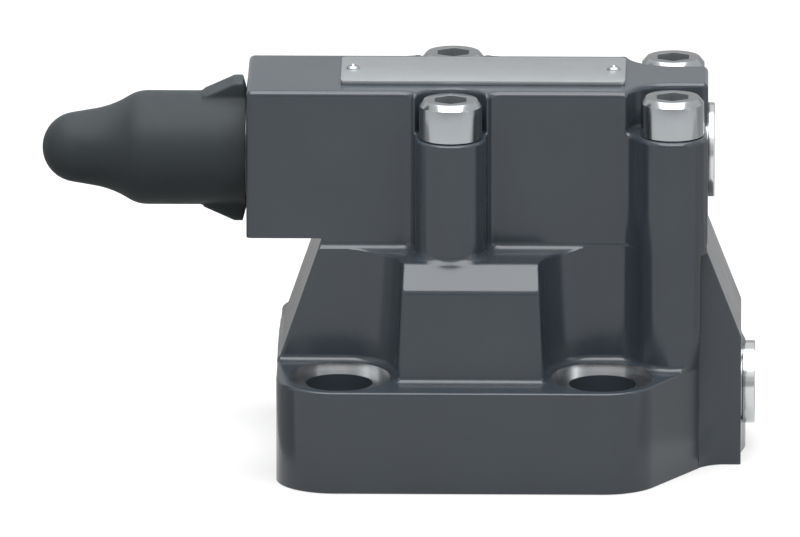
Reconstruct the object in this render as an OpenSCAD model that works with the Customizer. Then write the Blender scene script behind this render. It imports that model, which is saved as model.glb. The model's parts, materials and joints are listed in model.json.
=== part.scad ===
// Pilot-operated pressure relief valve for subplate mounting.
// A main stage stands in the cast main body, over port P. The pilot body on top
// holds the pilot stage, which lies along X, with its adjusting screw at the
// left under a protective cap. +Z is up and +X points from the cap to the plugs.
// The origin is the centre of the four mounting holes, on the mounting face.

/* [Mounting face] */
// Spacing of the mounting holes along X
hole_pitch_x = 66.7; // [64:0.1:70]
// Spacing of the mounting holes along Y
hole_pitch_y = 70; // [68:0.5:76]
// Clearance hole for an M16 mounting screw
mount_hole_d = 17; // [13:0.5:18]
// Spot face under each mounting screw's head
spot_face_d = 25.8; // [20:0.2:27]
// Depth of the spot face
spot_face_depth = 1.3; // [0.5:0.1:3]
// Spacing of ports P and T, which lie on the X axis
port_pitch = 44.5; // [42:0.5:46]
// Bore of ports P and T
port_d = 23; // [19:0.5:24]
// Section of the O-ring round each port
port_ring_d = 2.2; // [1.5:0.1:3]

/* [Main body] */
// Length of the foot
foot_l = 117.7; // [116:0.1:122]
// Height of the foot
foot_h = 27; // [24:0.5:29]
// Corner radius of the foot, round each mounting hole
corner_r = 15; // [13:0.5:18]
// Metal between the left mounting holes' centres and the left end
left_margin = 15.95; // [15:0.05:18]
// Angle of the foot's flanks behind the right mounting holes
flank_angle = 58.8; // [55:0.1:65]
// Fillet between each flank and the right end
waist_r = 7; // [3:0.5:9]
// Radius of the pocket above each mounting hole
pocket_r = 14.85; // [13.5:0.05:15.5]
// Height of the mounting face to the joint with the pilot body
body_h = 58.8; // [57:0.2:66]
// Height of the raised pad under the pilot body
pad_h = 2.2; // [1:0.1:4]
// How far the front and back blocks reach from the centre
block_reach = 39.6; // [38:0.2:44]
// Bevel along the top of each block
block_bevel = 5.6; // [2:0.2:8]
// How far the left end leans in over its height
left_lean = 11; // [6:0.5:14]
// Height at which the right end starts to slope in
end_slope_z = 33.5; // [31:0.5:42]
// Upright stretch at the top of the right end
end_land_h = 3.3; // [1:0.1:6]

/* [Pilot body] */
// Length of the pilot body
pilot_l = 117; // [116:0.5:122]
// Width of the pilot body
pilot_w = 39.2; // [36:0.2:42]
// Height of the pilot body
pilot_h = 38.4; // [36:0.2:42]
// Height of the pilot axis over the joint
pilot_axis_h = 18.8; // [18:0.1:20]
// Diameter of the four screw bosses
boss_d = 18; // [16:0.5:19]
// Height of the screw seats over the joint
screw_seat_h = 27.8; // [26:0.2:30]
// Fillet between a boss and the body beside it
boss_blend = 5; // [2:0.5:6]
// Radius of the head pocket of the two middle screws
mid_pocket_r = 9.6; // [9.1:0.1:11]
// Radius of the head pocket of the two end screws
end_pocket_r = 11.5; // [9.5:0.1:11.8]
// Middle screws: distance from the main axis back along X
mid_screw_back = 27.55; // [25:0.05:30]
// Middle screws: distance from the middle plane
mid_screw_y = 25; // [24:0.5:27]
// End screws: distance from the main axis along X
end_screw_ahead = 28.55; // [27:0.05:30]
// End screws: distance from the middle plane
end_screw_y = 21; // [20.5:0.5:23]

/* [Pilot screws] */
// Thread of the pilot screws
screw_d = 10; // [8:1:10]
// Length under the head
screw_l = 45; // [40:1:48]
// Head diameter
screw_head_d = 16; // [13:0.5:17]
// Head height
screw_head_h = 10; // [8:0.5:10]
// Width across the flats of the socket
screw_socket_af = 8; // [5:1:8]

/* [Main stage] */
// Outer diameter of the sleeve
sleeve_d = 28; // [26:0.5:29]
// Height of the sleeve's lower end over the mounting face
sleeve_z = 20; // [19.5:0.1:20.5]
// Diameter of the main poppet
poppet_d = 20; // [19:0.2:21]
// Length of the main poppet
poppet_l = 25; // [24:0.5:26]
// Bore of the main seat
seat_d = 18; // [16:0.2:18.4]
// Height of the seat's edge over the sleeve's lower end
seat_h = 5.7; // [5.6:0.1:6]
// Outer diameter of the annular space round the sleeve
annulus_d = 33.6; // [31:0.2:35]
// Radial holes in the sleeve
sleeve_holes = 8; // [4:1:9]
// Diameter of the radial holes
sleeve_hole_d = 6; // [3:0.5:6]
// Wire of the main spring
main_wire_d = 1.6; // [1:0.1:1.9]
// Outer diameter of the main spring
main_spring_d = 12.6; // [11:0.2:13]
// Section of the sleeve's O-rings
sleeve_ring_d = 1.9; // [1.4:0.1:2]

/* [Pilot stage] */
// Bore of the spring chamber
chamber_d = 18; // [17.4:0.1:18.2]
// Outer diameter of the pilot seat
pilot_seat_d = 14; // [12:0.5:15]
// Length of the pilot seat
pilot_seat_l = 10; // [8:0.5:12]
// Bore of the pilot seat
pilot_bore_d = 4; // [3:0.2:5]
// Half angle of the pilot poppet's cone
pilot_cone_angle = 20; // [17:1:24]
// Wire of the pilot spring
pilot_wire_d = 2.8; // [2:0.1:3]
// Outer diameter of the pilot spring
pilot_spring_d = 14.6; // [13.6:0.1:15]
// Bore that leads the pilot oil to the seat
control_d = 10; // [7:0.5:11]
// Small drillings for pilot and drain oil
drilling_d = 4; // [3:0.2:5]
// Thread of the two orifice screws
orifice_d = 6; // [5:0.5:6]
// Length of the two orifice screws
orifice_l = 7; // [5:0.5:7.5]
// Hole through each orifice screw
orifice_bore_d = 1.2; // [0.8:0.1:1.6]

/* [Adjuster] */
// Thread of the guide bush
bush_d = 20; // [19.6:0.1:21]
// Length of the guide bush inside the pilot body
bush_l = 16; // [14:0.5:18]
// Diameter of the guide bush's collar
collar_d = 25.24; // [24.4:0.02:25.4]
// Thickness of that collar
collar_h = 4; // [3:0.5:6]
// Width across flats of the guide bush and the lock nut
nut_af = 19; // [17:0.5:20]
// Length of the guide bush's hexagon
bush_hex_l = 6.5; // [4:0.5:8]
// Thread of the adjusting screw
adjust_d = 12; // [10:0.5:12]
// Length of the adjusting screw
adjust_l = 37.5; // [36:0.5:42]
// Width across flats of the adjusting screw's end
adjust_af = 10; // [7:0.5:10]
// Diameter of the spring plate's plunger
plunger_d = 14; // [13:0.5:15]
// Thickness of the lock nut
lock_nut_h = 6; // [5:0.5:8]
// Thickness of the lock nut's washer
washer_h = 1.5; // [1:0.1:2.5]
// Diameter of the lock nut's washer
washer_d = 23; // [21:0.5:24]

/* [Protective cap] */
// Outer diameter of the cap
cap_d = 29; // [28.8:0.1:32]
// Length of the cap
cap_l = 51.9; // [51:0.5:60]
// Wall of the cap
cap_wall = 1.8; // [1.5:0.05:2]
// Radius of the round nose
nose_r = 8.95; // [8:0.05:10]
// Angle of the gentle flare behind the nose
flare_angle = 9.6; // [6:0.1:12]
// Steepest angle of the shoulder
shoulder_angle = 30.5; // [26:0.5:36]
// Radius of the shoulder's hollow curve
hollow_r = 23; // [16:0.5:26]
// Radius of the shoulder's full curve
full_r = 9.2; // [6:0.2:11]
// Width of the two pull lugs
lug_w = 10; // [6:0.5:14]
// How far the lugs stand out from the cap
lug_h = 3.5; // [2:0.1:5]
// Length of each lug's ramp
lug_ramp_l = 7.7; // [5:0.1:10]

/* [Plugs] */
// Height of the pilot line over the mounting face
line_z = 16.65; // [14.5:0.05:16.8]
// Thread of the pilot line's plug
line_plug_d = 16; // [14:0.5:18]
// Collar diameter of the pilot line's plug
line_collar_d = 21.1; // [20:0.1:24]
// Collar thickness of the pilot line's plug
line_collar_h = 3.3; // [2:0.1:5]
// Thread of the pilot body's end plug
end_plug_d = 20; // [16:0.5:21]
// Collar diameter of the pilot body's end plug
end_collar_d = 24; // [24:0.1:26]
// Collar thickness of the pilot body's end plug
end_collar_h = 1.7; // [1.2:0.1:4]
// Width across flats of both plugs' sockets
plug_socket_af = 8; // [6:0.5:9]

/* [Nameplate] */
// Length of the bare nameplate
plate_l = 72.2; // [40:0.2:78]
// Width of the nameplate
plate_w = 25.4; // [16:0.2:30]
// Thickness of the nameplate
plate_h = 1.2; // [0.5:0.1:2]
// Diameter of the rivet heads
rivet_d = 3.6; // [2.6:0.1:4]

/* [Fits] */
// Radial clearance of the poppet, the plunger and the adjusting screw
running_fit = 0.04; // [0.02:0.01:0.08]
// Radial clearance between fixed round pieces and their bores
static_fit = 0.02; // [0.01:0.01:0.05]
// Radial clearance between the cap and the guide bush's collar
cap_fit = 0.08; // [0.04:0.01:0.1]
// Gap at the seats and stops of moving pieces
seat_gap = 0.3; // [0.2:0.05:0.5]

/* [Hidden] */

$fn = 64;
hull_fn = 32;
over = 1;

// Radius of the cast edges that run up the body
edge_r = 1.5;

// Places along X, Y and Z that several pieces share
hole_x = hole_pitch_x / 2;
hole_y = hole_pitch_y / 2;
main_x = port_pitch / 2;
foot_left = -hole_x - left_margin;
body_right = foot_left + foot_l;
boss_r = boss_d / 2;
mid_x = main_x - mid_screw_back;
end_x = main_x + end_screw_ahead;
pilot_right = end_x + boss_r;
pilot_left = pilot_right - pilot_l;
axis_z = body_h + pilot_axis_h;
shoulder_z = body_h - pad_h;
seat_z = body_h + screw_seat_h;
pilot_top = body_h + pilot_h;
tower_w = 2 * (hole_y - pocket_r);
block_w = 2 * (hole_x - pocket_r);

// The flank leaves the corner arc as a tangent and ends at the tower's side
flank_x = hole_x + corner_r * sin(flank_angle)
    + (hole_y + corner_r * cos(flank_angle) - tower_w / 2) / tan(flank_angle);

// O-ring glands: the rings are drawn squeezed, a little smaller than their glands
ring_play = 0.05;
joint_ring_d = 1.7;
joint_recess = joint_ring_d + 2 * ring_play;
ring_wall = 0.6;

// Main stage, up from the mounting face
seat_edge_z = sleeve_z + seat_h;
poppet_cone = 1;
poppet_z = seat_edge_z + seat_gap - poppet_cone;
poppet_bore_d = main_spring_d + 1.4;
poppet_floor = 7;
main_spring_recess = 3.7;
annulus_under = 1.2;
annulus_over = 14.3;
annulus_z = [seat_edge_z - annulus_under, seat_edge_z + annulus_over];
channel_z = (annulus_z[0] + annulus_z[1]) / 2;
channel_d = 16;
lower_ring_rise = 2.2;
lower_ring_z = sleeve_z + lower_ring_rise;
upper_ring_rise = 3;
upper_ring_z = annulus_z[1] + upper_ring_rise;

// Pilot stage, along the pilot axis
seat_face_back = 14.25;
seat_face_x = main_x - seat_face_back;
seat_end_x = seat_face_x + pilot_seat_l;
seat_relief_l = 4;
seat_relief_w = 1;
control_ahead = 23.75;
control_x = main_x + control_ahead;
bush_end_x = pilot_left + bush_l;
end_plug_l = 9.5;
end_bore_x = pilot_right - end_plug_l - 0.5;
drain_x = -main_x;

// Pilot poppet: its cone runs through the seat's edge at rest, less the seat gap
pilot_cone_r = 4.2;
pilot_tip_r = 0.6;
cone_slope = tan(pilot_cone_angle);
pilot_edge_x = seat_face_x - seat_gap;
cone_back_x = pilot_edge_x - (pilot_cone_r - pilot_bore_d / 2) / cone_slope;
cone_tip_x = pilot_edge_x + (pilot_bore_d / 2 - pilot_tip_r) / cone_slope;
pilot_flange_l = 3;
pilot_flange_x = cone_back_x - 2 - pilot_flange_l;
spring_guide_r = pilot_spring_d / 2 - pilot_wire_d - 0.35;
guide_l = 5.5;

// Spring plate: its flange stops at the guide bush's inner end
plate_flange_x = bush_end_x + seat_gap;
plate_flange_l = 2.4;
plunger_l = 11.5;
plunger_x = plate_flange_x - plunger_l;
plunger_ring_d = 1.6;
plunger_ring_x = plunger_x + 2.2;

// Adjuster, out of the pilot body's left face
collar_x = pilot_left - collar_h;
bush_x = collar_x - bush_hex_l;
bush_bore_x = plunger_x - 1.6;
washer_x = bush_x - washer_h;
lock_nut_x = washer_x - lock_nut_h;
adjust_x = plunger_x - adjust_l;
adjust_hex_l = 9;
adjust_tip_l = 2.5;
bush_recess_d = bush_d + 2 * (joint_ring_d + 2 * ring_play);

// Plugs
line_plug_l = 10.2;
line_seal_h = 1.5;
line_seal_sink = 1.2;
line_collar_x = body_right + line_seal_h - line_seal_sink;
line_bore_x = body_right - line_seal_sink - line_plug_l;
line_orifice_x = main_x + sleeve_d / 2 + 0.25;
end_ring_d = 1.4;
end_recess_d = end_plug_d + 2 * (end_ring_d + 2 * ring_play);
plug_socket_depth = 6;

// Protective cap, between its mouth and its round nose
cap_mouth_x = pilot_left - seat_gap;
cap_nose_x = cap_mouth_x - cap_l;
cap_bore_r = collar_d / 2 + cap_fit;
lug_flat_l = 2.1;
lug_lean = 0.9;

// Four places that mirror each other across X and Y
module at_mounting_holes() {
    for (x = [-hole_x, hole_x], y = [-hole_y, hole_y]) translate([x, y, 0]) children();
}

// Screws of the pilot body: the middle pair, then the end pair
module at_screws() {
    for (s = [-1, 1]) {
        translate([mid_x, s * mid_screw_y, 0]) children();
        translate([end_x, s * end_screw_y, 0]) children();
    }
}

// Turns a piece drawn along +Z to lie along +X, from x on an axis at height z
module along_x(x, z) {
    translate([x, 0, z]) rotate([0, 90, 0]) children();
}

// Upright hole or shaft between two heights
module upright(d, z0, z1) {
    translate([0, 0, z0]) cylinder(d = d, h = z1 - z0);
}

// O-ring of section d, standing on the plane z = 0, with its inner edge at inner_r
module o_ring(inner_r, d) {
    translate([0, 0, d / 2])
        rotate_extrude() translate([inner_r + d / 2, 0]) circle(d = d, $fn = hull_fn);
}

// Hexagonal prism with its upper edge turned down, as on a nut or a screw head
module hexagon(af, h, turned = 0.5) {
    r = af / 2 / cos(30);
    intersection() {
        cylinder(r = r, h = h, $fn = 6);
        union() {
            cylinder(r = r + over, h = h - turned);
            translate([0, 0, h - turned - 0.001])
                cylinder(r1 = af / 2 + 2 * turned, r2 = af / 2 - turned / 4, h = turned + 0.001);
        }
    }
}

// Hexagon socket, cut down from z = 0
module socket(af, depth) {
    translate([0, 0, -depth]) cylinder(r = af / 2 / cos(30), h = depth + over, $fn = 6);
}

// Shaft with a turned-down edge of size c at its upper end
module turned_shaft(d, h, c) {
    cylinder(d = d, h = h - c);
    translate([0, 0, h - c]) cylinder(d1 = d, d2 = d - 2 * c, h = c);
}

// Compression spring of round wire with its end coils closed
coil_steps = 14;
coil_sides = 6;
closed_pitch = 1.08;
function coil_rise(u, turns, wire, length) =
    let (end = closed_pitch * wire, free = length - wire)
    u < 1 ? end * u
    : u > turns - 1 ? free - end * (turns - u)
    : end + (free - 2 * end) * (u - 1) / (turns - 2);

module coil(outer_d, wire, length, turns) {
    mean_r = (outer_d - wire) / 2;
    rings = turns * coil_steps;
    points = [for (i = [0:rings], j = [0:coil_sides - 1])
        let (turn = 360 * i / coil_steps, around = 360 * j / coil_sides,
            r = mean_r + wire / 2 * cos(around))
        [r * cos(turn), r * sin(turn),
            wire / 2 * (1 + sin(around)) + coil_rise(i / coil_steps, turns, wire, length)]];
    first = [for (j = [0:coil_sides - 1]) j];
    last = [for (j = [coil_sides - 1:-1:0]) rings * coil_sides + j];
    sides = [for (i = [0:rings - 1], j = [0:coil_sides - 1], k = [0, 1])
        let (a = i * coil_sides + j, b = i * coil_sides + (j + 1) % coil_sides,
            c = a + coil_sides, d = b + coil_sides)
        k == 0 ? [a, c, b] : [b, c, d]];
    polyhedron(points = points, faces = concat([first, last], sides));
}

// Plan of the foot: lobes round the mounting holes, drawn in to the right end
module foot_outline() {
    intersection() {
        offset(r = -waist_r) offset(r = waist_r) {
            hull() for (s = [-1, 1]) {
                translate([foot_left + corner_r, s * hole_y])
                    circle(r = corner_r, $fn = 2 * hull_fn);
                translate([hole_x, s * hole_y]) circle(r = corner_r, $fn = 2 * hull_fn);
                translate([flank_x - 0.01, s * tower_w / 2 - 0.005]) square(0.01);
            }
            translate([0, -tower_w / 2]) square([body_right, tower_w]);
        }
        translate([foot_left - over, -2 * hole_y]) square([foot_l + over, 4 * hole_y]);
    }
}

// Plan above the foot: the tower and its two blocks, with a pocket round each hole
module tower_outline() {
    offset(r = edge_r) offset(r = -edge_r - boss_blend) offset(r = boss_blend) {
        offset(r = -pocket_r) offset(r = pocket_r) {
            translate([foot_left, -tower_w / 2]) square([foot_l, tower_w]);
            translate([-block_w / 2, -block_reach]) square([block_w, 2 * block_reach]);
        }
        for (s = [-1, 1]) translate([end_x, s * end_screw_y]) circle(r = boss_r);
    }
}

// Plan of the pilot body, which the pad under it repeats
module pilot_outline() {
    offset(r = edge_r) offset(r = -edge_r - boss_blend) offset(r = boss_blend) {
        translate([pilot_left, -pilot_w / 2]) square([pilot_l, pilot_w]);
        for (s = [-1, 1]) {
            translate([mid_x, s * mid_screw_y]) circle(r = boss_r);
            translate([end_x, s * end_screw_y]) circle(r = boss_r);
        }
    }
}

// Side view of the tower: a leaning left end and a right end that slopes in
module tower_side() {
    rotate([90, 0, 0]) linear_extrude(4 * hole_y, center = true) polygon([
        [foot_left, foot_h - over],
        [foot_left, foot_h],
        [foot_left + left_lean, body_h],
        [pilot_right, body_h],
        [pilot_right, body_h - end_land_h],
        [body_right, end_slope_z],
        [body_right, foot_h - over]]);
}

// End view of the tower: the blocks' bevelled shoulders
module tower_end() {
    rotate([90, 0, 90]) linear_extrude(4 * hole_x + foot_l, center = true) polygon([
        [-block_reach, foot_h - over],
        [-block_reach, shoulder_z - block_bevel],
        [-block_reach + block_bevel, shoulder_z],
        [block_reach - block_bevel, shoulder_z],
        [block_reach, shoulder_z - block_bevel],
        [block_reach, foot_h - over]]);
}

module tower() {
    intersection() {
        tower_side();
        union() {
            intersection() {
                tower_end();
                translate([0, 0, foot_h - over])
                    linear_extrude(shoulder_z - foot_h + over) tower_outline();
            }
            translate([0, 0, shoulder_z - over])
                linear_extrude(pad_h + over) pilot_outline();
        }
    }
}

// Threaded holes for the pilot screws, with drill points
module screw_threads() {
    depth = screw_l - screw_seat_h + 3;
    at_screws() {
        upright(screw_d + 2 * static_fit, body_h - depth, body_h + over);
        translate([0, 0, body_h - depth - screw_d / 4])
            cylinder(d1 = 0.4, d2 = screw_d, h = screw_d / 4);
    }
}

// Port P, the sleeve's bore over it, and the annular space that leads to port T
module main_bores() {
    translate([main_x, 0, 0]) {
        upright(port_d, -over, sleeve_z + over);
        upright(sleeve_d + 2 * static_fit, sleeve_z, body_h + over);
        upright(annulus_d, annulus_z[0], annulus_z[1]);
    }
    translate([-main_x, 0, 0]) upright(port_d, -over, channel_z + channel_d / 2 + 1);
    along_x(-main_x, channel_z) cylinder(d = channel_d, h = main_x * 2);
    translate([drain_x, 0, 0]) upright(drilling_d, channel_z, body_h + over);
    for (x = [-main_x, main_x]) translate([x, 0, 0])
        upright(port_d + 2 * (ring_wall + port_ring_d + 2 * ring_play), -over,
            port_ring_d + 2 * ring_play);
}

// Drilling from port P to the right end, with its orifice, plug and riser
module pilot_line_bores() {
    along_x(main_x, line_z) cylinder(d = drilling_d, h = control_x - main_x);
    along_x(line_orifice_x, line_z)
        cylinder(d = orifice_d + 2 * static_fit, h = line_bore_x + over - line_orifice_x);
    along_x(line_bore_x, line_z)
        cylinder(d = line_plug_d + 2 * static_fit, h = body_right + over - line_bore_x);
    along_x(body_right - line_seal_sink, line_z)
        cylinder(d = line_collar_d - 0.2, h = line_seal_sink + over);
    translate([control_x, 0, 0]) upright(drilling_d, line_z, body_h + over);
}

module main_body() {
    color("#484e53") difference() {
        union() {
            linear_extrude(foot_h) foot_outline();
            tower();
        }
        at_mounting_holes() {
            upright(mount_hole_d, -over, foot_h + over);
            upright(spot_face_d, foot_h - spot_face_depth, foot_h + over);
        }
        main_bores();
        pilot_line_bores();
        screw_threads();
    }
}

// Recesses above the screw seats; the end pair runs out through the right end
module head_pockets() {
    for (s = [-1, 1]) {
        translate([mid_x, s * mid_screw_y, 0]) upright(2 * mid_pocket_r, seat_z, pilot_top + over);
        translate([end_x, s * end_screw_y, seat_z]) linear_extrude(pilot_h) hull() {
            circle(r = end_pocket_r);
            translate([2 * boss_r, 0]) circle(r = end_pocket_r);
        }
    }
}

// Stepped bore along the pilot axis, from the guide bush to the end plug
module pilot_bores() {
    along_x(pilot_left - over, axis_z) {
        cylinder(d = chamber_d, h = seat_face_x - pilot_left + over);
        cylinder(d = bush_d + 2 * static_fit, h = bush_l + over + 0.4);
        cylinder(d = bush_recess_d, h = joint_ring_d + 2 * ring_play + over);
    }
    along_x(seat_face_x - over, axis_z)
        cylinder(d = pilot_seat_d + 2 * static_fit, h = pilot_seat_l + over);
    along_x(seat_end_x - over, axis_z)
        cylinder(d = control_d, h = end_bore_x - seat_end_x + 2 * over);
    along_x(end_bore_x, axis_z)
        cylinder(d = end_plug_d + 2 * static_fit, h = pilot_right - end_bore_x + over);
    along_x(pilot_right - end_ring_d - 2 * ring_play, axis_z)
        cylinder(d = end_recess_d, h = end_ring_d + 2 * ring_play + over);
}

// Drillings up from the joint: control, spring chamber vent and drain
module pilot_risers() {
    translate([control_x, 0, 0]) {
        upright(drilling_d, body_h - over, axis_z);
        upright(orifice_d + 2 * static_fit, body_h - over, body_h + joint_recess + orifice_l + 0.6);
    }
    translate([drain_x, 0, 0]) upright(drilling_d, body_h - over, axis_z);
    translate([main_x, 0, 0]) {
        upright(drilling_d - 1, body_h - over, axis_z);
        upright(main_spring_d + 1, body_h - over, body_h + main_spring_recess);
    }
}

// Where each O-ring of the joint lies: centre and inner radius
joint_rings = [
    [drain_x, drilling_d / 2 + ring_wall],
    [control_x, orifice_d / 2 + ring_wall],
    [main_x, sleeve_d / 2 + ring_wall]];

module joint_recesses() {
    for (ring = joint_rings) translate([ring[0], 0, body_h]) difference() {
        upright(2 * (ring[1] + joint_recess), -over, joint_recess);
        upright(2 * (ring[1] - ring_play), -2 * over, joint_recess + over);
    }
}

module pilot_body() {
    color("#4b5156") difference() {
        translate([0, 0, body_h]) linear_extrude(pilot_h) pilot_outline();
        head_pockets();
        at_screws() upright(screw_d + 1, body_h - over, pilot_top);
        pilot_bores();
        pilot_risers();
        joint_recesses();
        at_rivets() upright(rivet_shank_d + 2 * static_fit, -rivet_shank_l, over);
    }
}

module cap_screws() {
    color("#b4b7ba") at_screws() translate([0, 0, seat_z]) difference() {
        union() {
            turned_shaft(screw_head_d, screw_head_h, 0.8);
            mirror([0, 0, 1]) turned_shaft(screw_d, screw_l, 1);
        }
        translate([0, 0, screw_head_h]) rotate(30) socket(screw_socket_af, screw_head_h / 2);
    }
}

// Nameplate without any marking, held by two rivets
plate_x = 2.7;
rivet_shank_d = 2;
rivet_shank_l = 4;
rivet_inset = 3;
module at_rivets() {
    for (s = [-1, 1])
        translate([plate_x + s * (plate_l / 2 - rivet_inset), 0, pilot_top]) children();
}

module nameplate() {
    color("#b4b8bb") difference() {
        translate([plate_x, 0, pilot_top]) linear_extrude(plate_h)
            offset(r = edge_r) square([plate_l - 2 * edge_r, plate_w - 2 * edge_r], center = true);
        at_rivets() upright(rivet_shank_d + 2 * static_fit, -over, plate_h + over);
    }
}

module nameplate_rivets() {
    rise = 1;
    ball_r = (pow(rivet_d / 2, 2) + rise * rise) / 2 / rise;
    color("#c3c6c8") at_rivets() {
        upright(rivet_shank_d, -rivet_shank_l + 0.3, plate_h + rise / 2);
        intersection() {
            translate([0, 0, plate_h + rise - ball_r]) sphere(r = ball_r);
            upright(rivet_d + over, plate_h, plate_h + 2 * rise);
        }
    }
}

// Half profile of the cap, as [distance from the mouth, radius], set in by inset:
// round nose, gentle flare, hollow curve, full curve and straight skirt
function arc(cx, cr, r, from, to, steps) =
    [for (i = [0:steps]) let (a = from + (to - from) * i / steps)
        [cx + r * cos(a), cr + r * sin(a)]];

nose_cx = cap_l - nose_r;
flare_l = 4.45;
flare_end = nose_cx - flare_l;
flare_end_r = nose_r * cos(flare_angle)
    + (nose_cx + nose_r * sin(flare_angle) - flare_end) * tan(flare_angle);
hollow_cx = flare_end + hollow_r * sin(flare_angle);
hollow_cr = flare_end_r + hollow_r * cos(flare_angle);
full_cr = cap_d / 2 - full_r;
hollow_end = hollow_cx - hollow_r * sin(shoulder_angle);
hollow_end_r = hollow_cr - hollow_r * cos(shoulder_angle);
full_cx = hollow_end - (full_cr + full_r * cos(shoulder_angle) - hollow_end_r)
    / tan(shoulder_angle) - full_r * sin(shoulder_angle);

function cap_profile(inset) = concat(
    arc(nose_cx, 0, nose_r - inset, 0, 90 - flare_angle, 12),
    arc(hollow_cx, hollow_cr, hollow_r + inset, 270 - flare_angle, 270 - shoulder_angle, 6),
    arc(full_cx, full_cr, full_r - inset, 90 - shoulder_angle, 90, 6));

module cap_form(inset, mouth, skirt_r) {
    rotate_extrude() rotate(90) polygon(concat(cap_profile(inset),
        [[full_cx - 0.5, skirt_r], [mouth, skirt_r], [mouth, 0]]));
}

module cap_lugs() {
    reach = cap_d / 2 + lug_h;
    for (s = [0, 180]) rotate(s) translate([0, lug_w / 2, 0])
        rotate([90, 0, 0]) linear_extrude(lug_w) polygon([
            [cap_d / 2 - 1, 0],
            [cap_d / 2, 0],
            [reach, lug_lean],
            [reach, lug_lean + lug_flat_l],
            [cap_d / 2, lug_lean + lug_flat_l + lug_ramp_l],
            [cap_d / 2 - 1, lug_lean + lug_flat_l + lug_ramp_l]]);
}

module protective_cap() {
    color("#3c4245") translate([cap_mouth_x, 0, axis_z]) rotate([0, -90, 0]) difference() {
        union() {
            cap_form(0, 0, cap_d / 2);
            cap_lugs();
        }
        cap_form(cap_wall, -over, cap_bore_r);
    }
}

module guide_bush() {
    color("#a9adb0") difference() {
        union() {
            along_x(pilot_left - over, axis_z) turned_shaft(bush_d, bush_l + over, 1);
            along_x(collar_x, axis_z) cylinder(d = collar_d, h = collar_h);
            along_x(collar_x + over, axis_z)
                mirror([0, 0, 1]) hexagon(nut_af, bush_hex_l + over);
        }
        along_x(bush_x - over, axis_z)
            cylinder(d = adjust_d + 2 * running_fit, h = bush_hex_l + collar_h + bush_l);
        along_x(bush_bore_x, axis_z)
            cylinder(d = plunger_d + 2 * running_fit, h = bush_end_x - bush_bore_x + over);
    }
}

module guide_bush_o_ring() {
    color("#1d1d1f") along_x(pilot_left + ring_play, axis_z)
        o_ring(bush_d / 2 + static_fit + ring_play, joint_ring_d);
}

module adjusting_screw() {
    color("#b8bbbe") {
        along_x(adjust_x + adjust_hex_l, axis_z)
            mirror([0, 0, 1]) hexagon(adjust_af, adjust_hex_l);
        along_x(adjust_x + adjust_hex_l, axis_z)
            turned_shaft(adjust_d, adjust_l - adjust_hex_l - adjust_tip_l, 1);
        along_x(plunger_x - adjust_tip_l - over, axis_z)
            cylinder(d = adjust_d - 3, h = adjust_tip_l + over);
    }
}

module lock_nut() {
    color("#b4b8bb") along_x(washer_x, axis_z) mirror([0, 0, 1]) difference() {
        hexagon(nut_af, lock_nut_h);
        translate([0, 0, -over]) cylinder(d = adjust_d + 2 * running_fit, h = lock_nut_h + 2 * over);
    }
}

module lock_nut_washer() {
    color("#bcbfc1") along_x(washer_x, axis_z) difference() {
        cylinder(d = washer_d, h = washer_h);
        translate([0, 0, -over]) cylinder(d = adjust_d + 1, h = washer_h + 2 * over);
    }
}

module spring_plate() {
    color("#a4a8ab") difference() {
        union() {
            along_x(plunger_x, axis_z) cylinder(d = plunger_d, h = plunger_l + over);
            along_x(plate_flange_x, axis_z)
                cylinder(d = pilot_spring_d + 1.6, h = plate_flange_l);
            along_x(plate_flange_x, axis_z)
                turned_shaft(2 * spring_guide_r, plate_flange_l + guide_l, 1);
        }
        along_x(plunger_ring_x, axis_z) difference() {
            cylinder(d = plunger_d + over, h = plunger_ring_d + 2 * ring_play);
            translate([0, 0, -over])
                cylinder(d = plunger_d - 2 * plunger_ring_d, h = plunger_ring_d + 3 * over);
        }
    }
}

module spring_plate_o_ring() {
    color("#1d1d1f") along_x(plunger_ring_x + ring_play, axis_z)
        o_ring(plunger_d / 2 - plunger_ring_d, plunger_ring_d);
}

pilot_spring_x = plate_flange_x + plate_flange_l;
module pilot_spring() {
    color("#8d9194") along_x(pilot_spring_x + ring_play, axis_z)
        coil(pilot_spring_d, pilot_wire_d, pilot_flange_x - pilot_spring_x - 2 * ring_play, 8);
}

module pilot_poppet() {
    color("#9ea3a6") {
        along_x(pilot_flange_x + over - guide_l - over, axis_z)
            cylinder(r = spring_guide_r, h = guide_l + over);
        along_x(pilot_flange_x, axis_z) cylinder(d = pilot_spring_d, h = pilot_flange_l);
        along_x(pilot_flange_x, axis_z)
            cylinder(r = pilot_cone_r, h = cone_back_x - pilot_flange_x);
        along_x(cone_back_x, axis_z)
            cylinder(r1 = pilot_cone_r, r2 = pilot_tip_r, h = cone_tip_x - cone_back_x);
    }
}

module pilot_seat() {
    color("#a9adb0") along_x(seat_face_x, axis_z) difference() {
        cylinder(d = pilot_seat_d, h = pilot_seat_l);
        translate([0, 0, -over]) cylinder(d = pilot_bore_d, h = pilot_seat_l + 2 * over);
        translate([0, 0, pilot_seat_l - seat_relief_l])
            cylinder(d = pilot_bore_d + 2 * seat_relief_w, h = seat_relief_l + over);
    }
}

// Screwed plug with a round collar and a hexagon socket, drawn out along +X
module plug(face_x, z, d, l, collar, collar_h) {
    along_x(face_x, z) difference() {
        union() {
            turned_shaft(collar, collar_h, 0.5);
            mirror([0, 0, 1]) turned_shaft(d, l, 1);
        }
        translate([0, 0, collar_h]) socket(plug_socket_af, plug_socket_depth);
    }
}

module pilot_end_plug() {
    color("#b0b3b6") plug(pilot_right, axis_z, end_plug_d, end_plug_l, end_collar_d, end_collar_h);
}

module pilot_end_plug_o_ring() {
    color("#1d1d1f") along_x(pilot_right - end_ring_d - ring_play, axis_z)
        o_ring(end_plug_d / 2 + static_fit + ring_play, end_ring_d);
}

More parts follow.
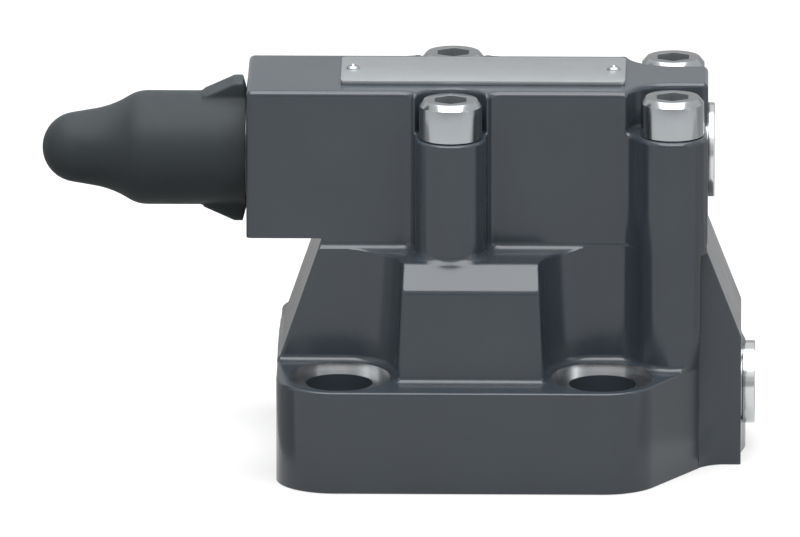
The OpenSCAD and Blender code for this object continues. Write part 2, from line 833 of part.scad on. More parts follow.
module pilot_line_plug() {
    color("#b0b3b6") plug(line_collar_x, line_z, line_plug_d, line_plug_l + line_seal_h,
        line_collar_d, line_collar_h);
}

module pilot_line_plug_seal() {
    color("#b87a4b") along_x(line_collar_x - line_seal_h, line_z) difference() {
        cylinder(d = line_collar_d - 0.8, h = line_seal_h);
        translate([0, 0, -over]) cylinder(d = line_plug_d + 0.2, h = line_seal_h + 2 * over);
    }
}

// Short set screw with a fine hole through it
module orifice() {
    difference() {
        cylinder(d = orifice_d, h = orifice_l);
        translate([0, 0, -over]) cylinder(d = orifice_bore_d, h = orifice_l + 2 * over);
        translate([0, 0, orifice_l]) socket(orifice_d / 2, orifice_l / 3);
    }
}

module pilot_line_orifice() {
    color("#b8964f") along_x(line_orifice_x, line_z) orifice();
}

module pilot_damping_orifice() {
    color("#b8964f") translate([control_x, 0, body_h + joint_recess + orifice_l + 0.2])
        mirror([0, 0, 1]) orifice();
}

// Grooves for the sleeve's O-rings
module sleeve_groove(z) {
    translate([0, 0, z]) difference() {
        cylinder(d = sleeve_d + over, h = sleeve_ring_d + 2 * ring_play);
        translate([0, 0, -over])
            cylinder(d = sleeve_d - 2 * sleeve_ring_d, h = sleeve_ring_d + 3 * over);
    }
}

module main_sleeve() {
    guide_r = poppet_d / 2 + running_fit;
    color("#a4a8ab") translate([main_x, 0, 0]) difference() {
        upright(sleeve_d, sleeve_z, body_h);
        upright(seat_d, sleeve_z - over, body_h);
        translate([0, 0, seat_edge_z])
            cylinder(r1 = seat_d / 2, r2 = guide_r, h = guide_r - seat_d / 2);
        upright(2 * guide_r, seat_edge_z + guide_r - seat_d / 2, body_h + over);
        for (i = [0:sleeve_holes - 1]) rotate(i * 360 / sleeve_holes)
            translate([poppet_d / 4, 0, poppet_z + 2 * poppet_cone + sleeve_hole_d / 2 + 0.5])
                rotate([0, 90, 0]) cylinder(d = sleeve_hole_d, h = sleeve_d);
        for (z = [lower_ring_z, upper_ring_z]) sleeve_groove(z);
    }
}

module sleeve_o_rings() {
    color("#1d1d1f") for (z = [lower_ring_z, upper_ring_z])
        translate([main_x, 0, z + ring_play]) o_ring(sleeve_d / 2 - sleeve_ring_d, sleeve_ring_d);
}

// Hollow poppet with a conical face and three oil grooves
module main_poppet() {
    cone_h = poppet_d / 2 - (seat_d / 2 - poppet_cone);
    groove = 0.8;
    color("#b0b3b6") translate([main_x, 0, poppet_z]) difference() {
        union() {
            cylinder(r1 = seat_d / 2 - poppet_cone, r2 = poppet_d / 2, h = cone_h);
            upright(poppet_d, cone_h, poppet_l);
        }
        upright(poppet_bore_d, poppet_floor, poppet_l + over);
        for (i = [1:3]) translate([0, 0, poppet_l - 3 * i]) difference() {
            cylinder(d = poppet_d + over, h = groove);
            translate([0, 0, -over]) cylinder(d = poppet_d - groove, h = groove + 2 * over);
        }
    }
}

main_spring_z = poppet_z + poppet_floor + ring_play;
module main_spring() {
    color("#8d9194") translate([main_x, 0, main_spring_z])
        coil(main_spring_d, main_wire_d,
            body_h + main_spring_recess - ring_play - main_spring_z, 7);
}

module interface_o_rings() {
    color("#1d1d1f") for (ring = joint_rings)
        translate([ring[0], 0, body_h + ring_play]) o_ring(ring[1], joint_ring_d);
}

module port_o_rings() {
    color("#1d1d1f") for (x = [-main_x, main_x]) translate([x, 0, ring_play])
        o_ring(port_d / 2 + ring_wall, port_ring_d);
}

main_body();
pilot_body();
cap_screws();
nameplate();
nameplate_rivets();
protective_cap();
guide_bush();
guide_bush_o_ring();
adjusting_screw();
lock_nut();
lock_nut_washer();
spring_plate();
spring_plate_o_ring();
pilot_spring();
pilot_poppet();
pilot_seat();
pilot_end_plug();
pilot_end_plug_o_ring();
pilot_line_plug();
pilot_line_plug_seal();
pilot_line_orifice();
pilot_damping_orifice();
main_sleeve();
sleeve_o_rings();
main_poppet();
main_spring();
interface_o_rings();
port_o_rings();
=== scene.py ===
"""Looks of a pilot-operated relief valve, built round its packed assembly.

Each operator makes one piece of the valve, or a group of like pieces, in the
place that the assembly gives it. Lengths are in metres in the scene; the
castings' shapes are worked out in millimetres, as on a drawing.
"""

import json
import math

import bpy
import numpy as np
from mathutils import Matrix, Vector


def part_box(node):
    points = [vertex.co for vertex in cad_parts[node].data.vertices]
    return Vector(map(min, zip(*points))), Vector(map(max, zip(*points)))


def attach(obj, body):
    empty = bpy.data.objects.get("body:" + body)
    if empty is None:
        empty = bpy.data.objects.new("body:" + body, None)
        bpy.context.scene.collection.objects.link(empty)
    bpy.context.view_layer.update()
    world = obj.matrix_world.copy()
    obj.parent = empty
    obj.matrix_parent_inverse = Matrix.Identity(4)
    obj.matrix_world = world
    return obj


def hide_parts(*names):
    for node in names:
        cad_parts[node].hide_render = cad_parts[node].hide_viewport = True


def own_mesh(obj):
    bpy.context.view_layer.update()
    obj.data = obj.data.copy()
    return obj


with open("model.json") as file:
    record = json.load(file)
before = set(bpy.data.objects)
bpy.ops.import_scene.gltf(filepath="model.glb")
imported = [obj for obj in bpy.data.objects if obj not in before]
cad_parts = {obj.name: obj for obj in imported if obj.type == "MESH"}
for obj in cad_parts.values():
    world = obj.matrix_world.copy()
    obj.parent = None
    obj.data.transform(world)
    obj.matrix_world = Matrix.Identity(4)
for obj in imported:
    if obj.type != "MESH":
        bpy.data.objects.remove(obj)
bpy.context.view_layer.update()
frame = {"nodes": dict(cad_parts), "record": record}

bl_info = {
    "name": "Pilot-Operated Relief Valve",
    "version": (1, 0, 0),
    "blender": (4, 5, 0),
    "location": "3D View > Sidebar > Relief Valve",
    "description": "Builds the castings, screws, cap and plugs of a relief valve and lights them",
    "category": "Object",
}

MM = 0.001
IMAGE_SIZE = (800, 537)
# Scale of the photograph, and the point in its middle in millimetres
PIXELS_PER_MM = 3.929
LOOK_AT = (-18.5, 0, 45.95)


def box_mm(node):
    """Lowest and highest corner of a node at rest, in millimetres."""
    low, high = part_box(node)
    return low / MM, high / MM


MAIN_LOW, MAIN_HIGH = box_mm("main_body")
PILOT_LOW, PILOT_HIGH = box_mm("pilot_body")
CAP_LOW, CAP_HIGH = box_mm("protective_cap")

# Places on the two castings, in millimetres
FOOT_LEFT = MAIN_LOW.x
BODY_RIGHT = MAIN_HIGH.x
PARTING = PILOT_LOW.z
PILOT_LEFT = PILOT_LOW.x
PILOT_RIGHT = PILOT_HIGH.x
PILOT_TOP = PILOT_HIGH.z
SHOULDER = PARTING - 2.7
PILOT_AXIS = PARTING + 18.8
SCREW_SEAT = PARTING + 27.8
FOOT_TOP = 26.3
TOWER_HALF_LEFT = 20.6
TOWER_HALF_RIGHT = 19.75
# Left over on the faces of the castings that are machined flat
SPARE = 0.8

# Screws, mounting holes, ports and the pilot line, in millimetres
MID_X, MID_Y = -5.3, 25.0
END_X, END_Y = 50.8, 21.0
SCREW_PLACES = {
    "mid_front": (MID_X, -MID_Y),
    "mid_back": (MID_X, MID_Y),
    "end_front": (END_X, -END_Y),
    "end_back": (END_X, END_Y),
}
BOSS_R = 9
MOUNT_X, MOUNT_Y = 33.35, 35.0
MOUNT_HOLES = [(x, y) for x in (-MOUNT_X, MOUNT_X) for y in (-MOUNT_Y, MOUNT_Y)]
MOUNT_HOLE_R = 8.5
PORT_P = 22.25
PORT_T = -22.25
PILOT_LINE_Z = 16.65
CAP_R = 14.5
CAP_WALL = 1.8
# Share of a casting's faces that is kept when its mesh is thinned
KEPT_FACES = 0.45


# Sizes and colours that a user would change


class ValveSizes(bpy.types.PropertyGroup):
    """Radii and small details of the valve's pieces."""

    cell: bpy.props.FloatProperty(
        name="Casting cell", description="Spacing of the points that a casting is skinned from",
        default=0.00045, min=0.0003, max=0.002, unit="LENGTH", precision=5)
    casting_edge: bpy.props.FloatProperty(
        name="Casting edge", description="Radius on the outer edges of the castings",
        default=0.0015, min=0.0006, max=0.003, unit="LENGTH", precision=4)
    crisp_edge: bpy.props.FloatProperty(
        name="Crisp edge", description="Radius on the edges of the blocks and slopes",
        default=0.0005, min=0.0004, max=0.002, unit="LENGTH", precision=4)
    foot_fillet: bpy.props.FloatProperty(
        name="Foot fillet", description="Radius where the tower rises from the foot",
        default=0.0015, min=0.001, max=0.005, unit="LENGTH", precision=4)
    boss_fillet: bpy.props.FloatProperty(
        name="Boss fillet", description="Radius where a screw boss leaves the wall",
        default=0.005, min=0.001, max=0.006, unit="LENGTH", precision=4)
    head_chamfer: bpy.props.FloatProperty(
        name="Screw head chamfer", description="Width of the chamfer round the top of a cap screw's head",
        default=0.0012, min=0.0003, max=0.002, unit="LENGTH", precision=4)
    thread_pitch: bpy.props.FloatProperty(
        name="Thread pitch", description="Pitch of the adjusting screw's thread",
        default=0.0015, min=0.0008, max=0.0025, unit="LENGTH", precision=4)


class ValveColours(bpy.types.PropertyGroup):
    """Colours of the valve's finishes."""

    paint: bpy.props.FloatVectorProperty(
        name="Body paint", description="Grey paint of the two castings",
        subtype="COLOR", size=3, min=0, max=1, default=(0.035, 0.044, 0.054))
    cap: bpy.props.FloatVectorProperty(
        name="Cap plastic", description="Moulded plastic of the protective cap",
        subtype="COLOR", size=3, min=0, max=1, default=(0.025, 0.031, 0.034))
    zinc: bpy.props.FloatVectorProperty(
        name="Zinc plating", description="Plated steel of the screws, nut and plugs",
        subtype="COLOR", size=3, min=0, max=1, default=(0.335, 0.355, 0.37))
    plug: bpy.props.FloatVectorProperty(
        name="Plug plating", description="Bright plating of the two plugs",
        subtype="COLOR", size=3, min=0, max=1, default=(0.55, 0.57, 0.58))
    plate: bpy.props.FloatVectorProperty(
        name="Nameplate aluminium", description="Brushed aluminium of the bare nameplate",
        subtype="COLOR", size=3, min=0, max=1, default=(0.40, 0.425, 0.44))
    inner: bpy.props.FloatVectorProperty(
        name="Ground steel", description="Ground steel of the inner pieces",
        subtype="COLOR", size=3, min=0, max=1, default=(0.42, 0.43, 0.44))
    brass: bpy.props.FloatVectorProperty(
        name="Orifice brass", description="Brass of the orifice screws",
        subtype="COLOR", size=3, min=0, max=1, default=(0.58, 0.42, 0.16))
    seal_ring: bpy.props.FloatVectorProperty(
        name="Seal ring", description="Tinned copper of the plug's seal",
        subtype="COLOR", size=3, min=0, max=1, default=(0.40, 0.40, 0.395))
    bare_iron: bpy.props.FloatVectorProperty(
        name="Machined iron", description="Bare iron of the castings' machined faces",
        subtype="COLOR", size=3, min=0, max=1, default=(0.56, 0.57, 0.58))
    rubber: bpy.props.FloatVectorProperty(
        name="Seal rubber", description="Black rubber of the O-rings",
        subtype="COLOR", size=3, min=0, max=1, default=(0.018, 0.018, 0.02))


class ValveStudio(bpy.types.PropertyGroup):
    """Camera and lamps."""

    elevation: bpy.props.FloatProperty(
        name="Camera elevation", description="Height of the camera over the horizon",
        default=math.radians(14.5), subtype="ANGLE", unit="ROTATION")
    azimuth: bpy.props.FloatProperty(
        name="Camera azimuth", description="Turn of the camera to the right of the front",
        default=math.radians(0.95), subtype="ANGLE", unit="ROTATION")
    top_power: bpy.props.FloatProperty(
        name="Top lamps", description="Power of the softbox over the front", default=22.0, min=0)
    front_power: bpy.props.FloatProperty(
        name="Front lamp", description="Power of the soft lamp in front", default=0.8, min=0)
    side_power: bpy.props.FloatProperty(
        name="Side lamps", description="Power of the strip on the right", default=1.0, min=0)
    ambient: bpy.props.FloatProperty(
        name="Ambient", description="Strength of the plain light from all round",
        default=0.2, min=0, max=1)


# Signed distances: negative inside, in millimetres


def union_round(a, b, radius):
    """Joins two solids with a hollow fillet between them."""
    near = np.sqrt(np.maximum(radius - a, 0) ** 2 + np.maximum(radius - b, 0) ** 2)
    return np.maximum(radius, np.minimum(a, b)) - near


def meet_round(a, b, radius):
    """Keeps what two solids share, with a round on the edge between them."""
    near = np.sqrt(np.maximum(radius + a, 0) ** 2 + np.maximum(radius + b, 0) ** 2)
    return np.minimum(-radius, np.maximum(a, b)) + near


def polygon(x, y, corners):
    """Distance to a closed outline, negative inside."""
    distance = None
    inside = None
    count = len(corners)
    for i in range(count):
        ax, ay = corners[i]
        bx, by = corners[(i + 1) % count]
        ex, ey = bx - ax, by - ay
        px, py = x - ax, y - ay
        along = np.clip((px * ex + py * ey) / (ex * ex + ey * ey), 0, 1)
        gap = (px - ex * along) ** 2 + (py - ey * along) ** 2
        distance = gap if distance is None else np.minimum(distance, gap)
        below, above = ay <= y, by <= y
        turn = ex * py - ey * px
        crossing = (below & ~above & (turn > 0)) | (~below & above & (turn < 0))
        inside = crossing if inside is None else inside ^ crossing
    return np.sqrt(distance) * np.where(inside, -1.0, 1.0)


def foot_plan(x, y):
    """Foot from above: a lobe round each mounting hole, drawn in to the right end."""
    lobe_r, tip = 15.0, 54.55
    left = FOOT_LEFT + lobe_r
    spine = [(left, -MOUNT_Y), (MOUNT_X, -MOUNT_Y), (tip, 0), (MOUNT_X, MOUNT_Y), (left, MOUNT_Y)]
    return polygon(x, y, spine) - lobe_r


def boss_plan(x, y, middle_x, middle_y):
    """A round screw boss in front, and its like at the back."""
    return np.hypot(x - middle_x, np.abs(y) - middle_y) - BOSS_R


def tower_plan(x, y, z, corner, boss):
    """Tower at a height, with its tapered front and back block and the end screws' bosses."""
    block_x, block_y, block_hollow = 18.5, 40.8, 14.4
    taper_x, taper_y = 0.045, 0.052
    rise = np.maximum(z, 0) - FOOT_TOP
    sides = np.abs(x) - block_x + taper_x * rise
    block = meet_round(sides, np.abs(y) - block_y + taper_y * rise, 2 * corner)
    wall = np.abs(y) - np.where(x < 0, TOWER_HALF_LEFT, TOWER_HALF_RIGHT)
    plan = union_round(wall, block, block_hollow)
    return union_round(plan, boss_plan(x, y, END_X, END_Y), boss)


def pilot_plan(x, y, edge, boss):
    """Pilot body from above, with its four screw bosses."""
    half_width = 19.6
    ends = np.maximum(PILOT_LEFT - x, x - PILOT_RIGHT)
    plan = meet_round(ends, np.abs(y) - half_width, edge)
    plan = union_round(plan, boss_plan(x, y, MID_X, MID_Y), boss)
    plan = union_round(plan, boss_plan(x, y, END_X, END_Y), boss)
    return np.maximum(plan, x - PILOT_RIGHT)


def main_casting(sizes):
    """Distance field of the main body's casting."""
    edge, corner, fillet = sizes.casting_edge / MM, sizes.crisp_edge / MM, sizes.foot_fillet / MM
    boss = sizes.boss_fillet / MM
    # Slopes: how far each faces outward and up, and a place that it runs through
    left_out, left_up = 0.945, 0.327
    end_out, end_up, end_z = 0.9314, 0.3641, 33.5
    bevel_out, bevel_up, bevel_y, bevel_z = 0.7367, 0.6763, 39.6, 50
    # Foot's top: its fall toward the edge at top_y, and the round on that edge
    top_fall, top_edge, top_y = 0.03, 0.6, 50
    # Pads under the pilot body's bosses: where they start and the hollow round them
    pad_z, pad_hollow = 48, 2.0
    # Where the end bosses stop, and how the foot and bosses run into the narrow end
    boss_end, boss_end_y, boss_tilt, end_hollow = 58.0, 26, 0.15, 3.6
    fade, fade_height = 0.15, 14

    def field(x, y, z):
        across = np.abs(y)
        foot_flat = foot_plan(x, y)
        tower_flat = tower_plan(x, y, z, corner, boss)
        pilot_flat = pilot_plan(x, y, edge, boss)
        left = -left_out * (x - FOOT_LEFT) + left_up * (z - FOOT_TOP)
        slope = end_out * (x - BODY_RIGHT) + end_up * (z - end_z)
        right = np.maximum(x - BODY_RIGHT, np.minimum(slope, x - PILOT_RIGHT))
        bevel = bevel_out * (across - bevel_y) + bevel_up * (z - bevel_z)
        tower = meet_round(tower_flat, z - SHOULDER, corner)
        tower = meet_round(tower, bevel, corner)
        pad = np.maximum(pilot_flat, pad_z - z)
        upper = np.maximum(union_round(tower, pad, pad_hollow), np.minimum(tower_flat, pilot_flat))
        upper = meet_round(upper, left, corner)
        # Under the shoulder the end bosses stop flat, and the foot curves into the narrow end
        arm = np.maximum(across - TOWER_HALF_RIGHT, -x)
        curve = union_round(foot_flat, arm, end_hollow)
        inner = curve + (arm - curve) * np.clip(z / FOOT_TOP, 0, 1)
        stop = x - boss_end - boss_tilt * (across - boss_end_y)
        stop = np.minimum(np.minimum(stop, inner), SHOULDER - z)
        upper = meet_round(np.maximum(upper, stop), right, corner)
        # The foot's top falls a little toward its edges
        top = z - FOOT_TOP - top_fall * (top_y - across)
        foot = meet_round(foot_flat, top, top_edge)
        body = union_round(foot, upper, fillet)
        # Near the foot the end bosses fade into its flank
        flank = curve - fade * np.clip(z - FOOT_TOP, 0, fade_height)
        body = np.where(z > FOOT_TOP + fade_height, body, np.maximum(body, flank))
        body = np.maximum(body, stop)
        return np.maximum(body, np.maximum(z - PARTING - SPARE, -SPARE - z))

    return field


def pilot_casting(sizes):
    """Distance field of the pilot body's casting."""
    edge, boss = sizes.casting_edge / MM, sizes.boss_fillet / MM
    # Recesses round the screw heads: radius, and the round on the rim
    mid_r, mid_rim = 9.6, 0.8
    end_r, end_rim = 11.5, 1.3
    floor_round = 1.0

    def field(x, y, z):
        across = np.abs(y)
        body = meet_round(pilot_plan(x, y, edge, boss), z - PILOT_TOP, edge)
        mid = meet_round(np.hypot(x - MID_X, across - MID_Y) - mid_r, SCREW_SEAT - z, floor_round)
        end = np.hypot(np.minimum(x - END_X, 0), across - END_Y) - end_r
        end = meet_round(end, SCREW_SEAT - z, floor_round)
        body = meet_round(meet_round(body, -mid, mid_rim), -end, end_rim)
        return np.maximum(body, PARTING - SPARE - z)

    return field


def cap_outline(inset, skirt):
    """Profile of the cap, as distance from the mouth and radius: nose, flare and shoulder."""
    nose_r, hollow_r, full_r = 8.95, 23.0, 9.2
    flare, shoulder = math.radians(9.6), math.radians(30.5)
    flare_length = 4.45
    nose_x = CAP_HIGH.x - CAP_LOW.x - nose_r
    flare_x = nose_x - flare_length
    flare_r = nose_r * math.cos(flare) + (nose_x + nose_r * math.sin(flare) - flare_x) * math.tan(flare)
    hollow_x = flare_x + hollow_r * math.sin(flare)
    hollow_cr = flare_r + hollow_r * math.cos(flare)
    full_cr = CAP_R - full_r
    end_x = hollow_x - hollow_r * math.sin(shoulder)
    end_r = hollow_cr - hollow_r * math.cos(shoulder)
    full_x = end_x - (full_cr + full_r * math.cos(shoulder) - end_r) / math.tan(shoulder)
    full_x -= full_r * math.sin(shoulder)

    def arc(cx, cr, radius, start, stop, steps):
        turns = np.linspace(start, stop, steps + 1)
        return [(cx + radius * math.cos(t), cr + radius * math.sin(t)) for t in turns]

    quarter = math.pi / 2
    points = arc(nose_x, 0, nose_r - inset, 0, quarter - flare, 14)
    points += arc(hollow_x, hollow_cr, hollow_r + inset, 3 * quarter - flare, 3 * quarter - shoulder, 8)
    points += arc(full_x, full_cr, full_r - inset, quarter - shoulder, quarter, 8)
    # The hollow runs on past the mouth, so that it is open there
    mouth = -3.0 if inset else 0.0
    points += [(full_x - 0.5, skirt), (mouth, skirt)]
    return points + [(along, -radius) for along, radius in reversed(points[1:])]


def cap_casting():
    """Distance field of the protective cap with its two pull lugs."""
    outside = cap_outline(0, CAP_R)
    inside = cap_outline(CAP_WALL, CAP_R - CAP_WALL)
    # A lug from the side, as distance from the mouth and from the axis
    lug_r, lug_length, lug_root, lug_half = 18, 10.7, 12, 5
    lug = [(0.0, lug_root), (0.0, CAP_R), (0.9, lug_r),
           (3.0, lug_r), (lug_length, CAP_R), (lug_length, lug_root)]
    lug_edge, lug_hollow, mouth_edge = 0.5, 1.0, 0.4

    def field(x, y, z):
        along = CAP_HIGH.x - x
        up = z - PILOT_AXIS
        radius = np.hypot(y, up)
        lugs = meet_round(polygon(along, np.abs(up), lug), np.abs(y) - lug_half, lug_edge)
        shell = union_round(polygon(along, radius, outside), lugs, lug_hollow)
        shell = np.maximum(shell, -along)
        return meet_round(shell, -polygon(along, radius, inside), mouth_edge)

    return field


# Mesh tools


def add_piece(name, verts, faces):
    """A new mesh object from points in metres."""
    mesh = bpy.data.meshes.new(name)
    mesh.from_pydata([tuple(v) for v in verts], [], [tuple(f) for f in faces])
    mesh.validate()
    mesh.update()
    piece = bpy.data.objects.new(name, mesh)
    bpy.context.scene.collection.objects.link(piece)
    return piece


def bake(piece):
    """Applies the modifiers of a piece to its mesh."""
    graph = bpy.context.evaluated_depsgraph_get()
    mesh = bpy.data.meshes.new_from_object(piece.evaluated_get(graph))
    rough = piece.data
    piece.modifiers.clear()
    piece.data = mesh
    bpy.data.meshes.remove(rough)
    return piece


def carve(piece, tools, operation="DIFFERENCE", solver="EXACT"):
    """Cuts a piece with tools, or keeps only what they share, and removes the tools."""
    before = len(piece.data.vertices)
    for tool in tools:
        step = piece.modifiers.new("cut", "BOOLEAN")
        step.operation = operation
        step.solver = solver
        step.object = tool
    bake(piece)
    if len(piece.data.vertices) in (0, before):
        raise RuntimeError(f"{piece.name}: the cut didn't change the mesh")
    for tool in tools:
        bpy.data.objects.remove(tool)
    return piece


def break_edges(piece, width, angle=35):
    """Puts a small round on the sharp edges of a piece."""
    step = piece.modifiers.new("edge", "BEVEL")
    step.width = width * MM
    step.segments = 2
    step.limit_method = "ANGLE"
    step.angle_limit = math.radians(angle)
    step.use_clamp_overlap = True
    return bake(piece)


def shade(piece, angle=32):
    """Smooth shading, with the sharp edges kept."""
    piece.data.shade_smooth()
    piece.data.set_sharp_from_angle(angle=math.radians(angle))
    return piece


def turned(name, profile, steps=96, closed=False):
    """Turns a profile of [height, radius] pairs in millimetres about Z."""
    verts, rings = [], []
    for height, radius in profile:
        start = len(verts)
        if radius < 1e-6:
            verts.append((0, 0, height * MM))
            rings.append([start] * steps)
            continue
        for k in range(steps):
            turn = 2 * math.pi * k / steps
            verts.append((radius * MM * math.cos(turn), radius * MM * math.sin(turn), height * MM))
        rings.append(list(range(start, start + steps)))
    pairs = list(zip(rings, rings[1:]))
    if closed:
        pairs.append((rings[-1], rings[0]))
    faces = []
    for lower, upper in pairs:
        for k in range(steps):
            after = (k + 1) % steps
            face = [lower[k], lower[after], upper[after], upper[k]]
            face = [v for i, v in enumerate(face) if v not in face[:i]]
            if len(face) > 2:
                faces.append(face)
    return add_piece(name, verts, faces)


def prism(name, outline, low, high):
    """Raises an outline in millimetres from one height to another."""
    count = len(outline)
    verts = [(x * MM, y * MM, z * MM) for z in (low, high) for x, y in outline]
    faces = [list(range(count))[::-1], list(range(count, 2 * count))]
    for k in range(count):
        after = (k + 1) % count
        faces.append([k, after, count + after, count + k])
    return add_piece(name, verts, faces)


def hexagon(flats, turn=0):
    """Corners of a hexagon with that width across flats."""
    reach = flats / 2 / math.cos(math.pi / 6)
    turns = [math.radians(turn + 60 * k) for k in range(6)]
    return [(reach * math.cos(t), reach * math.sin(t)) for t in turns]


def rounded_rectangle(length, width, radius, steps=8):
    """Outline of a plate with round corners, about its centre."""
    outline = []
    for k, (sx, sy) in enumerate([(1, 1), (-1, 1), (-1, -1), (1, -1)]):
        for i in range(steps + 1):
            turn = math.pi / 2 * (k + i / steps)
            outline.append((sx * (length / 2 - radius) + radius * math.cos(turn),
                            sy * (width / 2 - radius) + radius * math.sin(turn)))
    return outline


def stand(piece, x, y, z, toward="+Z"):
    """Moves a mesh that was made about Z to its place, in millimetres, and turns it toward +X or -X."""
    turn = {"+Z": 0, "+X": 90, "-X": -90}[toward]
    place = Matrix.Translation(Vector((x, y, z)) * MM)
    piece.data.transform(place @ Matrix.Rotation(math.radians(turn), 4, "Y"))
    piece.data.update()
    return piece


def rod(start, length, radius, axis="Z", steps=96):
    """A round tool along an axis, in millimetres."""
    tool = turned("tool", [(0, 0), (0, radius), (length, radius), (length, 0)], steps)
    return stand(tool, *start, toward="+" + axis)


def slab(low, high):
    """A square tool between two corners, in millimetres."""
    outline = [(low[0], low[1]), (high[0], low[1]), (high[0], high[1]), (low[0], high[1])]
    return prism("tool", outline, low[2], high[2])


# Casting: a distance field is skinned, thinned and then machined


def skin(field, low, high, cell):
    """Points and four-sided faces where the field changes sign (surface nets)."""
    axes = [np.arange(a, b + cell, cell) for a, b in zip(low, high)]
    x, y, z = np.meshgrid(*axes, indexing="ij", sparse=True)
    shape = [len(a) for a in axes]
    values = np.broadcast_to(field(x, y, z), shape).astype(np.float32)
    solid = values < 0
    counts = np.zeros([n - 1 for n in shape], np.uint8)
    for i, j, k in np.ndindex(2, 2, 2):
        counts += solid[i:i + counts.shape[0], j:j + counts.shape[1], k:k + counts.shape[2]]
    cells = np.argwhere((counts > 0) & (counts < 8))
    ids = np.full(counts.shape, -1, np.int64)
    ids[tuple(cells.T)] = np.arange(len(cells))
    total, hits = np.zeros((len(cells), 3)), np.zeros((len(cells), 1))
    for axis in range(3):
        for u, v in np.ndindex(2, 2):
            a = np.zeros(3, int)
            a[(axis + 1) % 3], a[(axis + 2) % 3] = u, v
            b = a.copy()
            b[axis] = 1
            va, vb = values[tuple((cells + a).T)], values[tuple((cells + b).T)]
            hit = (va < 0) != (vb < 0)
            share = np.where(hit, va / np.where(hit, va - vb, 1), 0)
            total += (a + (b - a) * share[:, None]) * hit[:, None]
            hits += hit[:, None]
    points = (cells + total / hits) * cell + np.array(low)
    quads = []
    for axis in range(3):
        b, c = (axis + 1) % 3, (axis + 2) % 3
        near, far = [slice(1, -1)] * 3, [slice(1, -1)] * 3
        near[axis], far[axis] = slice(0, -1), slice(1, None)
        first, second = solid[tuple(near)], solid[tuple(far)]
        offset = np.ones(3, int)
        offset[axis] = 0
        for leaving in (True, False):
            edges = np.argwhere(first & ~second if leaving else ~first & second) + offset
            corners = []
            for du, dv in ((-1, -1), (0, -1), (0, 0), (-1, 0)):
                at = edges.copy()
                at[:, b] += du
                at[:, c] += dv
                corners.append(ids[tuple(at.T)])
            corners = np.stack(corners, 1)
            quads.append(corners if leaving else corners[:, ::-1])
    return points, np.concatenate(quads)


def slopes(field, points, reach=0.02):
    """Direction in which the field grows at each point."""
    parts = []
    for unit in np.eye(3) * reach:
        ahead, behind = (points + unit).T, (points - unit).T
        parts.append(field(*ahead) - field(*behind))
    return np.stack(parts, 1) / (2 * reach)


def outward(field, points):
    """The same direction with length 1."""
    rise = slopes(field, points)
    return rise / np.maximum(np.linalg.norm(rise, axis=1, keepdims=True), 1e-6)


def settle(field, points, limit, rounds=3):
    """Moves points onto the surface of the field."""
    least_slope = 0.05
    for _ in range(rounds):
        rise = slopes(field, points)
        steepness = np.maximum((rise ** 2).sum(1, keepdims=True), least_slope)
        step = -field(*points.T)[:, None] * rise / steepness
        size = np.linalg.norm(step, axis=1, keepdims=True)
        points = points + step * np.minimum(1, limit / np.maximum(size, 1e-9))
    return points


def mesh_points(mesh):
    """Vertex places of a mesh, in millimetres."""
    flat = np.empty(len(mesh.vertices) * 3)
    mesh.vertices.foreach_get("co", flat)
    return flat.reshape(-1, 3) / MM


def cast(name, field, low, high, cell, keep):
    """Skins a field, thins the mesh to a share of its faces and settles it again."""
    points, quads = skin(field, low, high, cell)
    points = settle(field, points, cell / 2)
    piece = add_piece(name, points * MM, quads)
    thin = piece.modifiers.new("thin", "DECIMATE")
    thin.ratio = keep
    bake(piece)
    points = settle(field, mesh_points(piece.data), cell / 2, rounds=2)
    piece.data.vertices.foreach_set("co", (points * MM).ravel())
    piece.data.update()
    return piece


def cast_normals(field, points, corners, faces):
    """Corner normals that follow the cast skin, and which faces lie on that skin."""
    # Distance and cosines up to which a face counts as cast skin, a corner as aligned and an edge as smooth
    near, facing, aligned, smooth_edge = 0.15, 0.8, 0.85, 0.6
    own_share = 0.85
    centres = points[corners.reshape(-1, 3)].mean(1)
    normals = np.repeat(faces, 3, 0)
    on_skin = ((outward(field, centres) * faces).sum(1) > facing) & (np.abs(field(*centres.T)) < near)
    smooth = outward(field, points)[corners]
    # At a sharp edge each corner takes the slope of its own side
    turned_away = np.flatnonzero((smooth * normals).sum(1) < aligned)
    beside = own_share * points[corners[turned_away]] + (1 - own_share) * centres[turned_away // 3]
    own = outward(field, beside)
    sharp = (smooth[turned_away] * own).sum(1) < smooth_edge
    smooth[turned_away[sharp]] = own[sharp]
    cast_corners = np.repeat(on_skin, 3)
    normals[cast_corners] = smooth[cast_corners]
    return normals, on_skin


def round_bore(hole, points, corners, faces, normals):
    """Turns the corner normals on a hole's wall toward its axis."""
    start, length, radius, axis = hole
    slack, level = 0.02, 0.1
    a = "XYZ".index(axis)
    across = [i for i in range(3) if i != a]
    away = points[:, across] - np.array(start)[across]
    distance = np.linalg.norm(away, axis=1)
    on_wall = np.abs(distance - radius) < slack
    inside = (points[:, a] > start[a] - slack) & (points[:, a] < start[a] + length + slack)
    wall = (on_wall & inside)[corners.reshape(-1, 3)].all(1) & (np.abs(faces[:, a]) < level)
    inward = np.zeros_like(points)
    inward[:, across] = -away / np.maximum(distance, 1e-6)[:, None]
    picked = np.repeat(wall, 3)
    normals[picked] = inward[corners][picked]


